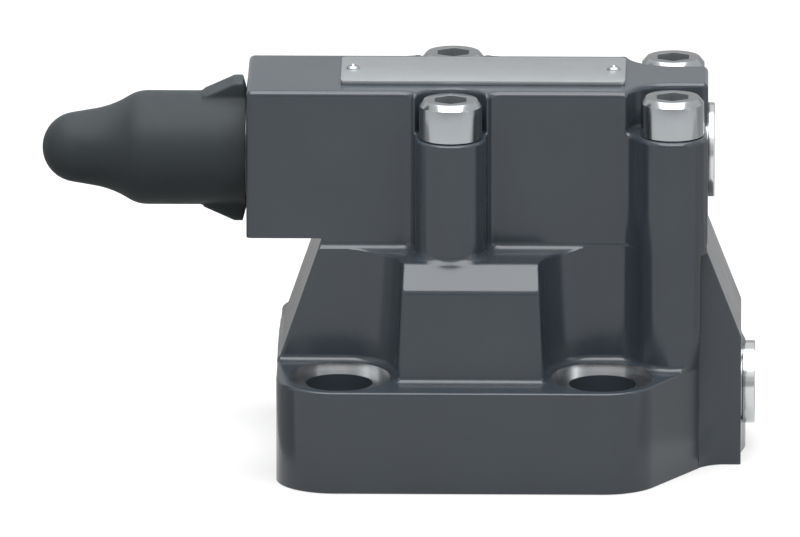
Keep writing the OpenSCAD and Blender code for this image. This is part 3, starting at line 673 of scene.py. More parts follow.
def machine(piece, field, holes, planes):
    """Cuts the holes and flat faces of a casting, and gives every corner its true normal."""
    tools = [rod(*hole) for hole in holes] + [slab(*plane) for plane in planes]
    carve(piece, tools, solver="MANIFOLD")
    step = piece.modifiers.new("triangles", "TRIANGULATE")
    step.min_vertices = 4
    bake(piece)
    mesh = piece.data
    points = mesh_points(mesh)
    corners = np.empty(len(mesh.loops), int)
    mesh.loops.foreach_get("vertex_index", corners)
    faces = np.empty(len(mesh.polygons) * 3)
    mesh.polygons.foreach_get("normal", faces)
    faces = faces.reshape(-1, 3)
    normals, on_skin = cast_normals(field, points, corners, faces)
    for hole in holes:
        round_bore(hole, points, corners, faces, normals)
    mesh.shade_smooth()
    mesh.normals_split_custom_set(normals)
    mark = mesh.attributes.new("machined", "BOOLEAN", "FACE")
    mark.data.foreach_set("value", ~on_skin)
    return piece


# Finishes


def new_finish(name, colour, metallic, roughness):
    """A material with one Principled shader, and its coordinates in metres."""
    finish = bpy.data.materials.new(name)
    finish.use_nodes = True
    nodes, links = finish.node_tree.nodes, finish.node_tree.links
    shader = nodes["Principled BSDF"]
    shader.inputs["Base Color"].default_value = (*colour, 1)
    shader.inputs["Metallic"].default_value = metallic
    shader.inputs["Roughness"].default_value = roughness
    place = nodes.new("ShaderNodeTexCoord")
    finish.diffuse_color = (*colour, 1)
    return finish, nodes, links, shader, place.outputs["Object"]


def noise(nodes, links, place, scale, detail=2.0, stretch=(1, 1, 1)):
    """Noise over the surface, with scale in bumps per metre."""
    mapping = nodes.new("ShaderNodeMapping")
    mapping.inputs["Scale"].default_value = stretch
    links.new(place, mapping.inputs["Vector"])
    texture = nodes.new("ShaderNodeTexNoise")
    texture.inputs["Scale"].default_value = scale
    texture.inputs["Detail"].default_value = detail
    links.new(mapping.outputs["Vector"], texture.inputs["Vector"])
    return texture.outputs["Fac"]


def spread(nodes, links, source, low, high):
    """Maps a texture's middle range to two values."""
    ramp = nodes.new("ShaderNodeMapRange")
    ramp.clamp = False
    ramp.inputs["From Min"].default_value = 0.3
    ramp.inputs["From Max"].default_value = 0.7
    ramp.inputs["To Min"].default_value = low
    ramp.inputs["To Max"].default_value = high
    links.new(source, ramp.inputs["Value"])
    return ramp.outputs["Result"]


def tint(nodes, links, source, colour, low, high, shader):
    """Varies the shader's colour between two shares of itself."""
    mix = nodes.new("ShaderNodeMix")
    mix.data_type = "RGBA"
    mix.clamp_factor = False
    mix.inputs["A"].default_value = (*[c * low for c in colour], 1)
    mix.inputs["B"].default_value = (*[c * high for c in colour], 1)
    links.new(spread(nodes, links, source, 0, 1), mix.inputs["Factor"])
    links.new(mix.outputs["Result"], shader.inputs["Base Color"])


def vary_roughness(nodes, links, source, low, high, shader):
    """Varies the shader's roughness between two values."""
    links.new(spread(nodes, links, source, low, high), shader.inputs["Roughness"])


def bump(nodes, links, source, depth, shader):
    """Bump of a depth in metres."""
    node = nodes.new("ShaderNodeBump")
    node.inputs["Distance"].default_value = depth
    node.inputs["Strength"].default_value = 1.0
    links.new(source, node.inputs["Height"])
    links.new(node.outputs["Normal"], shader.inputs["Normal"])


def paint_finish(colours):
    """Satin two-pack paint over a smooth casting: a fine orange peel and slight cloudiness."""
    finish, nodes, links, shader, place = new_finish("body_paint", colours.paint, 0.0, 0.2)
    shader.inputs["IOR"].default_value = 1.45
    tint(nodes, links, noise(nodes, links, place, 45, 3), colours.paint, 0.94, 1.06, shader)
    vary_roughness(nodes, links, noise(nodes, links, place, 120, 3), 0.17, 0.22, shader)
    bump(nodes, links, noise(nodes, links, place, 900, 2), 0.000006, shader)
    return finish


def plastic_finish(colours):
    """Moulded plastic with a fine spark-eroded grain."""
    finish, nodes, links, shader, place = new_finish("cap_plastic", colours.cap, 0.0, 0.5)
    shader.inputs["Specular IOR Level"].default_value = 0.2
    shader.inputs["Subsurface Weight"].default_value = 0.5
    shader.inputs["Subsurface Radius"].default_value = (1, 1, 1)
    shader.inputs["Subsurface Scale"].default_value = 0.008
    tint(nodes, links, noise(nodes, links, place, 60, 2), colours.cap, 0.95, 1.05, shader)
    vary_roughness(nodes, links, noise(nodes, links, place, 300, 2), 0.56, 0.64, shader)
    bump(nodes, links, noise(nodes, links, place, 2600, 2), 0.00002, shader)
    return finish


def metal_finish(name, colour, roughness, stretch, scale, depth):
    """Metal with tool marks drawn out along one or two axes."""
    finish, nodes, links, shader, place = new_finish(name, colour, 1.0, roughness)
    marks = noise(nodes, links, place, scale, 3, stretch)
    tint(nodes, links, noise(nodes, links, place, 180, 3), colour, 0.97, 1.03, shader)
    vary_roughness(nodes, links, marks, roughness - 0.02, roughness + 0.02, shader)
    bump(nodes, links, marks, depth, shader)
    return finish


def rubber_finish(colours):
    """Moulded black rubber."""
    finish, nodes, links, shader, place = new_finish("seal_rubber", colours.rubber, 0.0, 0.55)
    tint(nodes, links, noise(nodes, links, place, 400, 2), colours.rubber, 0.85, 1.2, shader)
    bump(nodes, links, noise(nodes, links, place, 3000, 2), 0.00001, shader)
    return finish


# Tool marks: their scale along each axis, small where they are drawn out
EVEN, BRUSHED, ALONG_X, ALONG_Z = (1, 1, 1), (0.02, 1, 1), (0.05, 1, 1), (1, 1, 0.03)
# Colour and share of it, roughness, tool marks, marks per metre and their depth in metres
METALS = {
    "screw_steel": ("zinc", 1, 0.2, ALONG_Z, 1500, 5e-7),
    "plug_steel": ("plug", 1, 0.16, ALONG_X, 1500, 5e-7),
    "bush_steel": ("zinc", 1, 0.32, ALONG_X, 1500, 4e-6),
    "plate_aluminium": ("plate", 1, 0.36, BRUSHED, 2600, 8e-7),
    "inner_steel": ("inner", 1, 0.24, EVEN, 1200, 2e-6),
    "spring_steel": ("inner", 0.7, 0.34, EVEN, 900, 3e-6),
    "orifice_brass": ("brass", 1, 0.28, ALONG_Z, 1500, 3e-6),
    "seal_copper": ("seal_ring", 1, 0.34, EVEN, 1500, 3e-6),
    "bare_iron": ("bare_iron", 1, 0.22, EVEN, 1500, 1e-6),
    # The insides of the screws' sockets: a darker share of the zinc, as painted shade
    "socket_painted_shade": ("zinc", 0.75, 0.5, EVEN, 900, 1e-6),
}
NOT_METAL = {"body_paint": paint_finish, "cap_plastic": plastic_finish, "seal_rubber": rubber_finish}


def finish_for(slot, colours):
    """The material of a slot, made when it is first asked for."""
    made = bpy.data.materials.get("valve_" + slot)
    if made:
        return made
    if slot in NOT_METAL:
        finish = NOT_METAL[slot](colours)
    elif slot in METALS:
        colour, share, roughness, marks, scale, depth = METALS[slot]
        base = [c * share for c in getattr(colours, colour)]
        finish = metal_finish(slot, base, roughness, marks, scale, depth)
    else:
        raise RuntimeError(f"no finish is known for the slot {slot}")
    finish.name = "valve_" + slot
    return finish


def dress(piece, slot, body, *nodes):
    """Gives a piece its finish and body, and hides the nodes that it stands for."""
    piece.data.materials.clear()
    piece.data.materials.append(finish_for(slot, bpy.context.scene.valve_colours))
    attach(piece, body)
    if nodes:
        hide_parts(*nodes)
    return piece


# Pieces


def casting_cell(sizes):
    """Spacing of a casting's points in millimetres."""
    return sizes.cell / MM


def on_pilot_axis(piece, x, angle=32):
    """Lays a mesh that was made about Z along the pilot axis, from x to the right."""
    return shade(stand(piece, x, 0, PILOT_AXIS, "+X"), angle)


def mark_faces(piece, slot, found):
    """Gives some of a piece's faces a second finish."""
    piece.data.materials.append(finish_for(slot, bpy.context.scene.valve_colours))
    if not found:
        raise RuntimeError(f"{piece.name}: no faces for {slot}")
    for face in found:
        face.material_index = 1


def bare_faces(piece, where):
    """Leaves the machined faces bare where the test, given a face's centre in millimetres, says so."""
    faces = piece.data.polygons
    machined = np.empty(len(faces), bool)
    piece.data.attributes["machined"].data.foreach_get("value", machined)
    found = [face for face, cut in zip(faces, machined) if cut and where(*(face.center / MM))]
    mark_faces(piece, "bare_iron", found)


class VALVE_OT_main_body(bpy.types.Operator):
    """Casts the main body and machines its holes, ports and flat faces"""

    bl_idname = "valve.main_body"
    bl_label = "Main Body"

    def execute(self, context):
        sizes = context.scene.valve_sizes
        field = main_casting(sizes)
        margin = 2
        low = (FOOT_LEFT - margin, MAIN_LOW.y - margin, -margin)
        high = (BODY_RIGHT + margin, MAIN_HIGH.y + margin, PARTING + margin)
        piece = cast("main_body_casting", field, low, high, casting_cell(sizes), KEPT_FACES)
        below, spot_depth, spot_r = -5, 1.2, 12.9
        port_r, groove_r, groove_l, sleeve_r, annulus_r = 11.5, 14.4, 7.3, 14.02, 16.8
        cross_z, cross_r, drilling_r, screw_r, screw_depth = 32.25, 8.0, 2.0, 5.02, 20.2
        orifice_r, plug_r, seal_r = 3.02, 8.02, 10.45
        # Each hole has its start, length, radius and axis
        holes = []
        for x, y in MOUNT_HOLES:
            holes.append(((x, y, below), 40, MOUNT_HOLE_R, "Z"))
            holes.append(((x, y, FOOT_TOP - spot_depth), 25, spot_r, "Z"))
        holes += [((PORT_P, 0, below), 26, port_r, "Z"),
                  ((PORT_P, 0, 20), 45, sleeve_r, "Z"),
                  ((PORT_P, 0, 24.5), 15.5, annulus_r, "Z"),
                  ((PORT_T, 0, below), 46.25, port_r, "Z"),
                  ((PORT_P, 0, below), groove_l, groove_r, "Z"),
                  ((PORT_T, 0, below), groove_l, groove_r, "Z"),
                  ((PORT_T, 0, cross_z), PORT_P - PORT_T, cross_r, "X"),
                  ((PORT_P, 0, PILOT_LINE_Z), 23.75, drilling_r, "X"),
                  ((36.5, 0, PILOT_LINE_Z), 22, orifice_r, "X"),
                  ((57.0, 0, PILOT_LINE_Z), 20, plug_r, "X"),
                  ((67.2, 0, PILOT_LINE_Z), 5, seal_r, "X"),
                  ((46.0, 0, PILOT_LINE_Z), 50, drilling_r, "Z"),
                  ((PORT_T, 0, cross_z), 30, drilling_r, "Z")]
        holes += [((x, y, PARTING - screw_depth), 30, screw_r, "Z") for x, y in SCREW_PLACES.values()]
        wide, thick = 120, 20
        planes = [((-wide, -wide, -thick), (wide, wide, 0)),
                  ((-wide, -wide, PARTING), (wide, wide, PARTING + thick))]
        machine(piece, field, holes, planes)
        dress(piece, "body_paint", "housing", "main_body")
        beyond_hole, face_z = MOUNT_HOLE_R + 0.1, 0.1

        def bare(x, y, z):
            return min(math.hypot(x - hx, y - hy) for hx, hy in MOUNT_HOLES) > beyond_hole or z < face_z

        bare_faces(piece, bare)
        return {"FINISHED"}


class VALVE_OT_pilot_body(bpy.types.Operator):
    """Casts the pilot body and machines its bores and screw holes"""

    bl_idname = "valve.pilot_body"
    bl_label = "Pilot Body"

    def execute(self, context):
        sizes = context.scene.valve_sizes
        field = pilot_casting(sizes)
        margin = 2
        low = (PILOT_LEFT - margin, PILOT_LOW.y - margin, PARTING - margin)
        high = (PILOT_RIGHT + margin, PILOT_HIGH.y + margin, PILOT_TOP + margin)
        piece = cast("pilot_body_casting", field, low, high, casting_cell(sizes), KEPT_FACES)
        start, below = PILOT_LEFT - 5, PARTING - 5
        chamber_r, bush_r, bush_ring_r, seat_r = 9.0, 10.02, 11.8, 7.02
        control_r, plug_r, plug_ring_r, spring_r, screw_r = 5.0, 10.02, 11.5, 6.8, 5.5
        # Each hole has its start, length, radius and axis
        holes = [((start, 0, PILOT_AXIS), 70.2, chamber_r, "X"),
                 ((start, 0, PILOT_AXIS), 21.4, bush_r, "X"),
                 ((start, 0, PILOT_AXIS), 6.8, bush_ring_r, "X"),
                 ((8, 0, PILOT_AXIS), 10, seat_r, "X"),
                 ((17, 0, PILOT_AXIS), 34, control_r, "X"),
                 ((49.8, 0, PILOT_AXIS), 20, plug_r, "X"),
                 ((58.3, 0, PILOT_AXIS), 10, plug_ring_r, "X"),
                 ((PORT_P, 0, below), 8.7, spring_r, "Z")]
        holes += [((x, y, below), 45, screw_r, "Z") for x, y in SCREW_PLACES.values()]
        wide, thick = 120, 20
        machine(piece, field, holes, [((-wide, -wide, PARTING - thick), (wide, wide, PARTING))])
        dress(piece, "body_paint", "housing", "pilot_body")
        bare_faces(piece, lambda x, y, z: True)
        return {"FINISHED"}


class VALVE_OT_cap_screws(bpy.types.Operator):
    """Makes the four socket head cap screws that hold the pilot body"""

    bl_idname = "valve.cap_screws"
    bl_label = "Cap Screws"

    def execute(self, context):
        chamfer = context.scene.valve_sizes.head_chamfer / MM
        rod_l, rod_r, rod_end = 45, 5.0, 0.9
        head_h, head_r, head_edge, steepness = 10, 8.0, 0.3, 1.2
        flats, socket_z = 8, 5
        profile = [(-rod_l, 0), (-rod_l, rod_r - rod_end), (rod_end - rod_l, rod_r), (0, rod_r),
                   (0, head_r - head_edge), (head_edge, head_r), (head_h - steepness * chamfer, head_r),
                   (head_h, head_r - chamfer), (head_h, 0)]
        for place, (x, y) in SCREW_PLACES.items():
            piece = turned("cap_screw_" + place, profile, 128)
            carve(piece, [prism("tool", hexagon(flats, 30), socket_z, head_h + 1)])
            break_edges(piece, 0.06, angle=30)
            shade(stand(piece, x, y, SCREW_SEAT), 20)
            dress(piece, "screw_steel", "housing", "cap_screws")
            rim = Vector((x, y, SCREW_SEAT + head_h)) * MM
            reach = 0.6 * flats * MM
            # The faces down in the socket get painted shade
            paint_socket_shade(piece, lambda at: at.z < rim.z - 0.05 * MM and math.hypot(*(at - rim).xy) < reach)
        return {"FINISHED"}


def paint_socket_shade(piece, inside):
    """Gives the faces inside a socket a darker steel finish: painted shade for the shadow down in the
    socket.
    """
    mark_faces(piece, "socket_painted_shade", [face for face in piece.data.polygons if inside(face.center)])


class VALVE_OT_nameplate(bpy.types.Operator):
    """Makes the bare nameplate and the two rivets that hold it"""

    bl_idname = "valve.nameplate"
    bl_label = "Nameplate and Rivets"

    def execute(self, context):
        low, high = box_mm("nameplate")
        size, middle = high - low, (low + high) / 2
        plate = prism("bare_nameplate", rounded_rectangle(size.x, size.y, 1.5), 0, size.z)
        break_edges(plate, 0.08, angle=50)
        shade(stand(plate, middle.x, middle.y, low.z))
        dress(plate, "plate_aluminium", "housing", "nameplate")
        rivet_low, rivet_high = box_mm("nameplate_rivets")
        head_r = (rivet_high.y - rivet_low.y) / 2
        head_h = rivet_high.z - high.z
        shank_l, shank_r, dome_end, dimple = 4, 0.9, 1.15, 0.3
        shank = [(-shank_l, 0), (-shank_l, shank_r), (0, shank_r)]
        dome = [(head_h * math.sin(t), head_r * math.cos(t)) for t in np.linspace(0, dome_end, 9)]
        top, rim = dome[-1]
        centre = [(top - dimple, rim - 0.2), (top - dimple, 0)]
        for side, x in (("left", rivet_low.x + head_r), ("right", rivet_high.x - head_r)):
            rivet = turned("rivet_" + side, shank + dome + centre, 48)
            shade(stand(rivet, x, middle.y, high.z), 45)
            dress(rivet, "screw_steel", "housing", "nameplate_rivets")
        return {"FINISHED"}


class VALVE_OT_protective_cap(bpy.types.Operator):
    """Moulds the protective cap with its two pull lugs"""

    bl_idname = "valve.protective_cap"
    bl_label = "Protective Cap"

    def execute(self, context):
        field = cap_casting()
        margin, kept_faces = 1.5, 0.5
        low = tuple(c - margin for c in CAP_LOW)
        high = tuple(c + margin for c in CAP_HIGH)
        cell = casting_cell(context.scene.valve_sizes)
        piece = cast("moulded_cap", field, low, high, cell, kept_faces)
        piece.data.shade_smooth()
        piece.data.normals_split_custom_set_from_vertices(outward(field, mesh_points(piece.data)))
        dress(piece, "cap_plastic", "protective_cap", "protective_cap")
        return {"FINISHED"}


def screw_plug(name, node, collar_r, collar_h, thread_r, face, height, depth):
    """A plug with a round chamfered collar, a hexagon socket and a thread into the body."""
    back = box_mm(node)[0].x
    length = face - back
    flats, tip, neck, relief, low_edge, rim = 8, 1, 0.6, 0.3, 0.15, 0.25
    profile = [(-length, 0), (-length, thread_r - tip), (tip - length, thread_r), (-neck, thread_r),
               (0, thread_r - relief), (0, collar_r - low_edge), (low_edge, collar_r),
               (collar_h - rim, collar_r), (collar_h, collar_r - rim), (collar_h, 0)]
    piece = turned(name, profile, 128)
    carve(piece, [prism("tool", hexagon(flats), collar_h - depth, collar_h + 2)])
    break_edges(piece, 0.06, angle=30)
    return shade(stand(piece, face, 0, height, "+X"), 20)


class VALVE_OT_plugs(bpy.types.Operator):
    """Makes the pilot body's end plug and the pilot line's plug"""

    bl_idname = "valve.plugs"
    bl_label = "Plugs"

    def execute(self, context):
        socket_depth = 6
        collar_r, collar_h, thread_r = 12.0, 1.7, 10.0
        end = screw_plug("end_plug", "pilot_end_plug", collar_r, collar_h, thread_r,
                         PILOT_RIGHT, PILOT_AXIS, socket_depth)
        dress(end, "plug_steel", "housing", "pilot_end_plug")
        collar_r, collar_h, thread_r = 10.55, 3.3, 8.0
        face = box_mm("pilot_line_plug")[1].x - collar_h
        line = screw_plug("line_plug", "pilot_line_plug", collar_r, collar_h, thread_r,
                          face, PILOT_LINE_Z, socket_depth)
        dress(line, "plug_steel", "housing", "pilot_line_plug")
        return {"FINISHED"}


def hex_body(name, flats, length, bore):
    """A hexagon along Z with turned chamfers at both ends, and a bore if it has one."""
    slack, inset, steepness = 0.1, 0.2, 0.5
    piece = prism(name, hexagon(flats), 0, length)
    reach = flats / 2 / math.cos(math.pi / 6) + slack
    rim = flats / 2 - inset
    rise = (reach - rim) * steepness
    shape = [(0, 0), (0, rim), (rise, reach), (length - rise, reach), (length, rim), (length, 0)]
    carve(piece, [turned("tool", shape, 96)], operation="INTERSECT")
    if bore:
        carve(piece, [rod((0, 0, -1), length + 2, bore)])
    return piece


def threaded_rod(name, radius, length, pitch, steps=64):
    """A rod along Z with a helical thread and a chamfer at each end."""
    depth = 0.6 * pitch
    rows_per_turn, flank, chamfer = 8, 1.25, 0.3
    rows = int(length / pitch * rows_per_turn)
    heights = np.linspace(0, length, rows + 1)
    turns = np.arange(steps) / steps
    phase = (heights[:, None] / pitch - turns[None, :]) % 1
    ridge = np.minimum(1, flank * np.abs(2 * phase - 1))
    radii = radius - depth * (1 - ridge)
    ends = np.minimum(heights, length - heights)[:, None]
    radii = np.minimum(radii, radius - depth - chamfer + ends)
    verts = [(0, 0, 0)]
    for height, ring in zip(heights, radii):
        for turn, r in zip(2 * math.pi * turns, ring):
            verts.append((r * MM * math.cos(turn), r * MM * math.sin(turn), height * MM))
    verts.append((0, 0, length * MM))
    faces = []
    for row in range(rows):
        for k in range(steps):
            a, b = 1 + row * steps + k, 1 + row * steps + (k + 1) % steps
            faces.append((a, b, b + steps, a + steps))
    last = len(verts) - 1
    for k in range(steps):
        after = (k + 1) % steps
        faces.append((0, 1 + after, 1 + k))
        faces.append((last, last - steps + k, last - steps + after))
    return add_piece(name, verts, faces)


class VALVE_OT_adjuster(bpy.types.Operator):
    """Makes the guide bush, adjusting screw, lock nut and washer under the cap"""

    bl_idname = "valve.adjuster"
    bl_label = "Adjuster"

    def execute(self, context):
        sizes = context.scene.valve_sizes
        flats, thread_hole, screw_r = 19, 6.06, 6.0
        low, high = box_mm("guide_bush")
        collar_x, collar_r, collar_h, neck_r, bore_r, bore_z = PILOT_LEFT - 4, 12.62, 4, 10.0, 7.04, 7.2
        length = high.x - collar_x
        profile = [(0, 12.3), (0.3, collar_r), (collar_h - 0.2, collar_r), (collar_h, 12.4),
                   (collar_h, neck_r), (length - 0.8, neck_r), (length, neck_r - 0.8), (length, bore_r),
                   (bore_z, bore_r), (bore_z, thread_hole), (0, thread_hole)]
        bush = on_pilot_axis(turned("guide_bush_turned", profile, 128, closed=True), collar_x)
        dress(bush, "bush_steel", "housing", "guide_bush")
        bush_hexagon = hex_body("guide_bush_hexagon", flats, collar_x - low.x, thread_hole)
        on_pilot_axis(break_edges(bush_hexagon, 0.15), low.x)
        dress(bush_hexagon, "bush_steel", "housing", "guide_bush")

        low, high = box_mm("lock_nut")
        nut = hex_body("lock_nut_chamfered", flats, high.x - low.x, thread_hole)
        on_pilot_axis(break_edges(nut, 0.15), low.x)
        dress(nut, "screw_steel", "lock_nut", "lock_nut")

        low, high = box_mm("lock_nut_washer")
        thickness, hole_r, rim_r, edge = high.x - low.x, 6.5, 11.5, 0.2
        ring = [(0, hole_r), (0, rim_r - edge), (edge, rim_r), (thickness - edge, rim_r),
                (thickness, rim_r - edge), (thickness, hole_r)]
        washer = on_pilot_axis(turned("washer_ring", ring, 96, closed=True), low.x)
        dress(washer, "screw_steel", "lock_nut_washer", "lock_nut_washer")

        low, high = box_mm("adjusting_screw")
        hex_l, tip_l, tip_r = 9.0, 2.5, 4.5
        rod_l = high.x - low.x - hex_l - tip_l
        thread = threaded_rod("adjusting_thread", screw_r, rod_l, sizes.thread_pitch / MM)
        on_pilot_axis(thread, low.x + hex_l, 50)
        dress(thread, "bush_steel", "adjusting_screw", "adjusting_screw")
        end = on_pilot_axis(break_edges(hex_body("adjusting_hexagon", 10, hex_l + 0.2, 0), 0.12), low.x)
        dress(end, "bush_steel", "adjusting_screw", "adjusting_screw")
        profile = [(-0.5, 0), (-0.5, tip_r), (tip_l - 0.5, tip_r), (tip_l, tip_r - 0.5), (tip_l, 0)]
        tip = on_pilot_axis(turned("adjusting_tip", profile, 64), high.x - tip_l)
        dress(tip, "bush_steel", "adjusting_screw", "adjusting_screw")
        return {"FINISHED"}


def coil(name, mean_r, wire_r, length, turns, from_turn, to_turn, sides=12, steps=32):
    """Part of a compression spring along Z with closed ends, between two of its turns."""
    count = int((to_turn - from_turn) * steps)
    at = np.linspace(from_turn, to_turn, count + 1)
    closed = 0.75
    wire, top = closed * 2 * wire_r, length - 2 * wire_r
    rise = np.interp(at, [0, closed, turns - closed, turns], [0, wire, top - wire, top])
    verts = []
    for turn, height in zip(at, rise):
        for k in range(sides):
            around = 2 * math.pi * k / sides
            r = mean_r + wire_r * math.cos(around)
            angle = 2 * math.pi * turn
            verts.append((r * MM * math.cos(angle), r * MM * math.sin(angle),
                          (wire_r + height + wire_r * math.sin(around)) * MM))
    faces = [list(range(sides))[::-1], [count * sides + k for k in range(sides)]]
    for i in range(count):
        for k in range(sides):
            a, b = i * sides + k, i * sides + (k + 1) % sides
            faces.append((a, b, b + sides, a + sides))
    return add_piece(name, verts, faces)


class VALVE_OT_springs(bpy.types.Operator):
    """Winds the pilot spring, in two halves, and the main spring"""

    bl_idname = "valve.springs"
    bl_label = "Springs"

    def execute(self, context):
        coil_r, wire_r, turns = 5.9, 1.4, 8
        low, high = box_mm("pilot_spring")
        length, middle = high.x - low.x, (low.x + high.x) / 2
        halves = (("pilot_spring_rear", 0, 4, "adjuster_feed", 6.0),
                  ("pilot_spring_front", 4, 8, "pilot_poppet_lift", 1.0))
        for name, first, last, joint, travel in halves:
            half = on_pilot_axis(coil(name, coil_r, wire_r, length, turns, first, last), low.x, 60)
            dress(half, "spring_steel", "housing", "pilot_spring")
            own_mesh(half)
        coil_r, wire_r, turns, travel = 5.5, 0.8, 7, 5.0
        low, high = box_mm("main_spring")
        length = high.z - low.z
        main = shade(coil("main_spring_coil", coil_r, wire_r, length, turns, 0, turns), 60)
        stand(main, PORT_P, 0, low.z)
        dress(main, "spring_steel", "housing", "main_spring")
        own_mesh(main)
        return {"FINISHED"}


class VALVE_OT_inner_finishes(bpy.types.Operator):
    """Gives the sleeve, poppets, seats, orifices and seals their finishes"""

    bl_idname = "valve.inner_finishes"
    bl_label = "Inner Finishes"

    def execute(self, context):
        slots = {part["node"]: part["material_slot"] for part in frame["record"]["subparts"]}
        for name, node in frame["nodes"].items():
            if name not in slots:
                raise RuntimeError(f"{name} has no finish in the record")
            finish = finish_for(slots[name], context.scene.valve_colours)
            for index in range(max(1, len(node.material_slots))):
                if node.material_slots:
                    node.material_slots[index].material = finish
                else:
                    node.data.materials.append(finish)
        return {"FINISHED"}


# Stage


def lamp(name, size, power, place, aim):
    """A soft rectangular lamp that faces a point."""
    data = bpy.data.lights.new(name, "AREA")
    data.shape = "RECTANGLE"
    data.size, data.size_y = size
    data.energy = power
    made = bpy.data.objects.new(name, data)
    bpy.context.scene.collection.objects.link(made)
    made.location = place
    made.rotation_euler = (Vector(aim) - Vector(place)).to_track_quat("-Z", "Y").to_euler()
    return made


def seen_by_eye_or_gloss(nodes, links):
    """1 for camera, glossy and transmission rays, and 0 for the rest."""
    path = nodes.new("ShaderNodeLightPath")
    result = path.outputs["Is Camera Ray"]
    for name in ("Is Glossy Ray", "Is Transmission Ray"):
        either = nodes.new("ShaderNodeMath")
        either.operation = "MAXIMUM"
        links.new(result, either.inputs[0])
        links.new(path.outputs[name], either.inputs[1])
        result = either.outputs[0]
    return result


def floor_finish():
    """Pale floor that shows white to the eye and keeps the valve's shadow."""
    finish = bpy.data.materials.new("studio_floor")
    finish.use_nodes = True
    nodes, links = finish.node_tree.nodes, finish.node_tree.links
    nodes.clear()
    output = nodes.new("ShaderNodeOutputMaterial")
    both = nodes.new("ShaderNodeAddShader")
    grey, glow_level = 0.3, 0.62
    matt = nodes.new("ShaderNodeBsdfDiffuse")
    matt.inputs["Color"].default_value = (grey, grey, grey, 1)
    glow = nodes.new("ShaderNodeEmission")
    strength = nodes.new("ShaderNodeMath")
    strength.operation = "MULTIPLY"
    strength.inputs[1].default_value = glow_level
    links.new(seen_by_eye_or_gloss(nodes, links), strength.inputs[0])
    links.new(strength.outputs[0], glow.inputs["Strength"])
    links.new(matt.outputs[0], both.inputs[0])
    links.new(glow.outputs[0], both.inputs[1])
    links.new(both.outputs[0], output.inputs["Surface"])
    return finish


def white_world(ambient):
    """World that is white to the eye and in reflections, and gives a plain soft light."""
    world = bpy.data.worlds.new("studio")
    world.use_nodes = True
    nodes, links = world.node_tree.nodes, world.node_tree.links
    background = nodes["Background"]
    background.inputs["Color"].default_value = (1, 1, 1, 1)
    level = nodes.new("ShaderNodeMapRange")
    level.inputs["To Min"].default_value = ambient
    level.inputs["To Max"].default_value = 1.0
    links.new(seen_by_eye_or_gloss(nodes, links), level.inputs["Value"])
    links.new(level.outputs["Result"], background.inputs["Strength"])
    bpy.context.scene.world = world


def grey_card(name, place, aim, size, level):
    """A card of a plain grey level that only reflections see, as a photographer sets beside metal."""
    corner_r, half_thickness = 5, 1
    card = prism(name, rounded_rectangle(*size, corner_r), -half_thickness, half_thickness)
    finish = bpy.data.materials.new(name)
    finish.use_nodes = True
    nodes, links = finish.node_tree.nodes, finish.node_tree.links
    glow = nodes.new("ShaderNodeEmission")
    glow.inputs["Color"].default_value = (level, level, level, 1)
    links.new(glow.outputs[0], nodes["Material Output"].inputs["Surface"])
    card.data.materials.append(finish)
    card.location = place
    card.rotation_euler = (Vector(aim) - Vector(place)).to_track_quat("Z", "Y").to_euler()
    card.visible_camera = False
    card.visible_diffuse = False
    card.visible_shadow = False
    card.visible_transmission = False
    return card


def photograph_camera(elevation, azimuth):
    """Camera in the photograph's place. It has almost no perspective there, so the lens is long."""
    lens, sensor = 1000.0, 36.0
    width = IMAGE_SIZE[0] / PIXELS_PER_MM * MM
    data = bpy.data.cameras.new("photograph")
    data.lens, data.sensor_width, data.sensor_fit = lens, sensor, "HORIZONTAL"
    data.clip_start, data.clip_end = 0.1, 50
    camera = bpy.data.objects.new("photograph", data)
    bpy.context.scene.collection.objects.link(camera)
    level = math.cos(elevation)
    forward = Vector((-math.sin(azimuth) * level, math.cos(azimuth) * level, -math.sin(elevation)))
    camera.location = Vector(LOOK_AT) * MM - forward * (width * lens / sensor)
    camera.rotation_euler = forward.to_track_quat("-Z", "Y").to_euler()
    bpy.context.scene.camera = camera


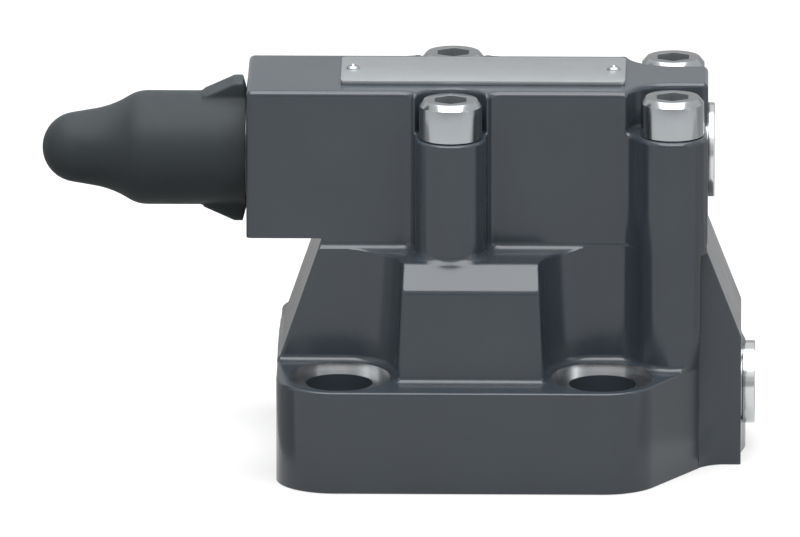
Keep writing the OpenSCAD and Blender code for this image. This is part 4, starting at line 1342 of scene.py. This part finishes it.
class VALVE_OT_stage(bpy.types.Operator):
    """Sets the camera, the lamps, the world and the floor"""

    bl_idname = "valve.stage"
    bl_label = "Stage"

    def execute(self, context):
        studio = context.scene.valve_studio
        context.scene.view_settings.view_transform = "Standard"
        photograph_camera(studio.elevation, studio.azimuth)

        aim = (0, 0, 0.05)
        lamp("front_top_softbox", (1.4, 0.78), studio.top_power, (0, -0.53, 1.12), aim)
        rear = lamp("rear_top_softbox", (1.4, 0.64), studio.top_power * 0.8, (0, 0.5, 1.14), aim)
        rear.visible_glossy = False
        lamp("front_softbox", (1.4, 0.9), studio.front_power, (0.1, -1.7, 0.9), aim)
        lamp("left_strip", (0.25, 1.0), studio.side_power * 0.4, (-1.1, -0.55, 0.5), aim)
        lamp("right_strip", (0.25, 1.0), studio.side_power, (1.1, -0.55, 0.5), aim)
        grey_card("left_card", (-1.3, 0.45, 0.35), aim, (420, 1400), 0.03)
        grey_card("rear_card", (0, 2.2, 0.55), aim, (4400, 1100), 0.56)
        grey_card("front_card", (0, -2.6, 0.72), (0, 0, 0.72), (5200, 1400), 0.55)
        grey_card("top_card", (0, 0.17, 1.3), (0, 0.17, 0), (1400, 740), 5.0)
        # Cards that lie on the floor and face up
        floor_cards = (
            ("near_left_floor_card", (-0.24, 0.025, 0.0005), (330, 150), 0.45),
            ("near_right_floor_card", (0.285, 0, 0.0005), (400, 120), 0.8),
            ("left_floor_card", (-0.625, 0.81, 0.002), (1100, 1400), 0.55),
            ("rear_left_floor_card", (-0.06, 0.74, 0.002), (30, 1280), 0.3),
            ("rear_right_floor_card", (0.46, 0.7, 0.002), (1000, 1280), 0.55),
        )
        for name, place, size, level in floor_cards:
            grey_card(name, place, (place[0], place[1], 1), size, level)
        white_world(studio.ambient)

        reach, drop = 6, 0.0002
        corners = [(-reach, -reach, 0), (reach, -reach, 0), (reach, reach, 0), (-reach, reach, 0)]
        floor = add_piece("floor", corners, [(0, 1, 2, 3)])
        floor.location.z = -drop
        floor.data.materials.append(floor_finish())
        return {"FINISHED"}


class VALVE_PT_pieces(bpy.types.Panel):
    """Lists the valve's pieces, sizes and colours"""

    bl_label = "Relief Valve"
    bl_idname = "VALVE_PT_pieces"
    bl_space_type = "VIEW_3D"
    bl_region_type = "UI"
    bl_category = "Relief Valve"

    def draw(self, context):
        layout = self.layout
        for operator in OPERATORS:
            layout.operator(operator.bl_idname)
        for title, group in (("Sizes", context.scene.valve_sizes), ("Colours", context.scene.valve_colours),
                             ("Studio", context.scene.valve_studio)):
            column = layout.box().column()
            column.label(text=title)
            for name in group.__annotations__:
                column.prop(group, name)


OPERATORS = (
    VALVE_OT_stage,
    VALVE_OT_inner_finishes,
    VALVE_OT_main_body,
    VALVE_OT_pilot_body,
    VALVE_OT_cap_screws,
    VALVE_OT_nameplate,
    VALVE_OT_protective_cap,
    VALVE_OT_plugs,
    VALVE_OT_adjuster,
    VALVE_OT_springs,
)
GROUPS = (ValveSizes, ValveColours, ValveStudio)


def register():
    for each in GROUPS + OPERATORS + (VALVE_PT_pieces,):
        bpy.utils.register_class(each)
    bpy.types.Scene.valve_sizes = bpy.props.PointerProperty(type=ValveSizes)
    bpy.types.Scene.valve_colours = bpy.props.PointerProperty(type=ValveColours)
    bpy.types.Scene.valve_studio = bpy.props.PointerProperty(type=ValveStudio)


def unregister():
    del bpy.types.Scene.valve_studio
    del bpy.types.Scene.valve_colours
    del bpy.types.Scene.valve_sizes
    for each in reversed(GROUPS + OPERATORS + (VALVE_PT_pieces,)):
        bpy.utils.unregister_class(each)


def main():
    """Builds everything in order."""
    register()
    bpy.ops.valve.stage()
    bpy.ops.valve.inner_finishes()
    bpy.ops.valve.main_body()
    bpy.ops.valve.pilot_body()
    bpy.ops.valve.cap_screws()
    bpy.ops.valve.nameplate()
    bpy.ops.valve.protective_cap()
    bpy.ops.valve.plugs()
    bpy.ops.valve.adjuster()
    bpy.ops.valve.springs()
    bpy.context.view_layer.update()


if __name__ == "__main__":
    main()
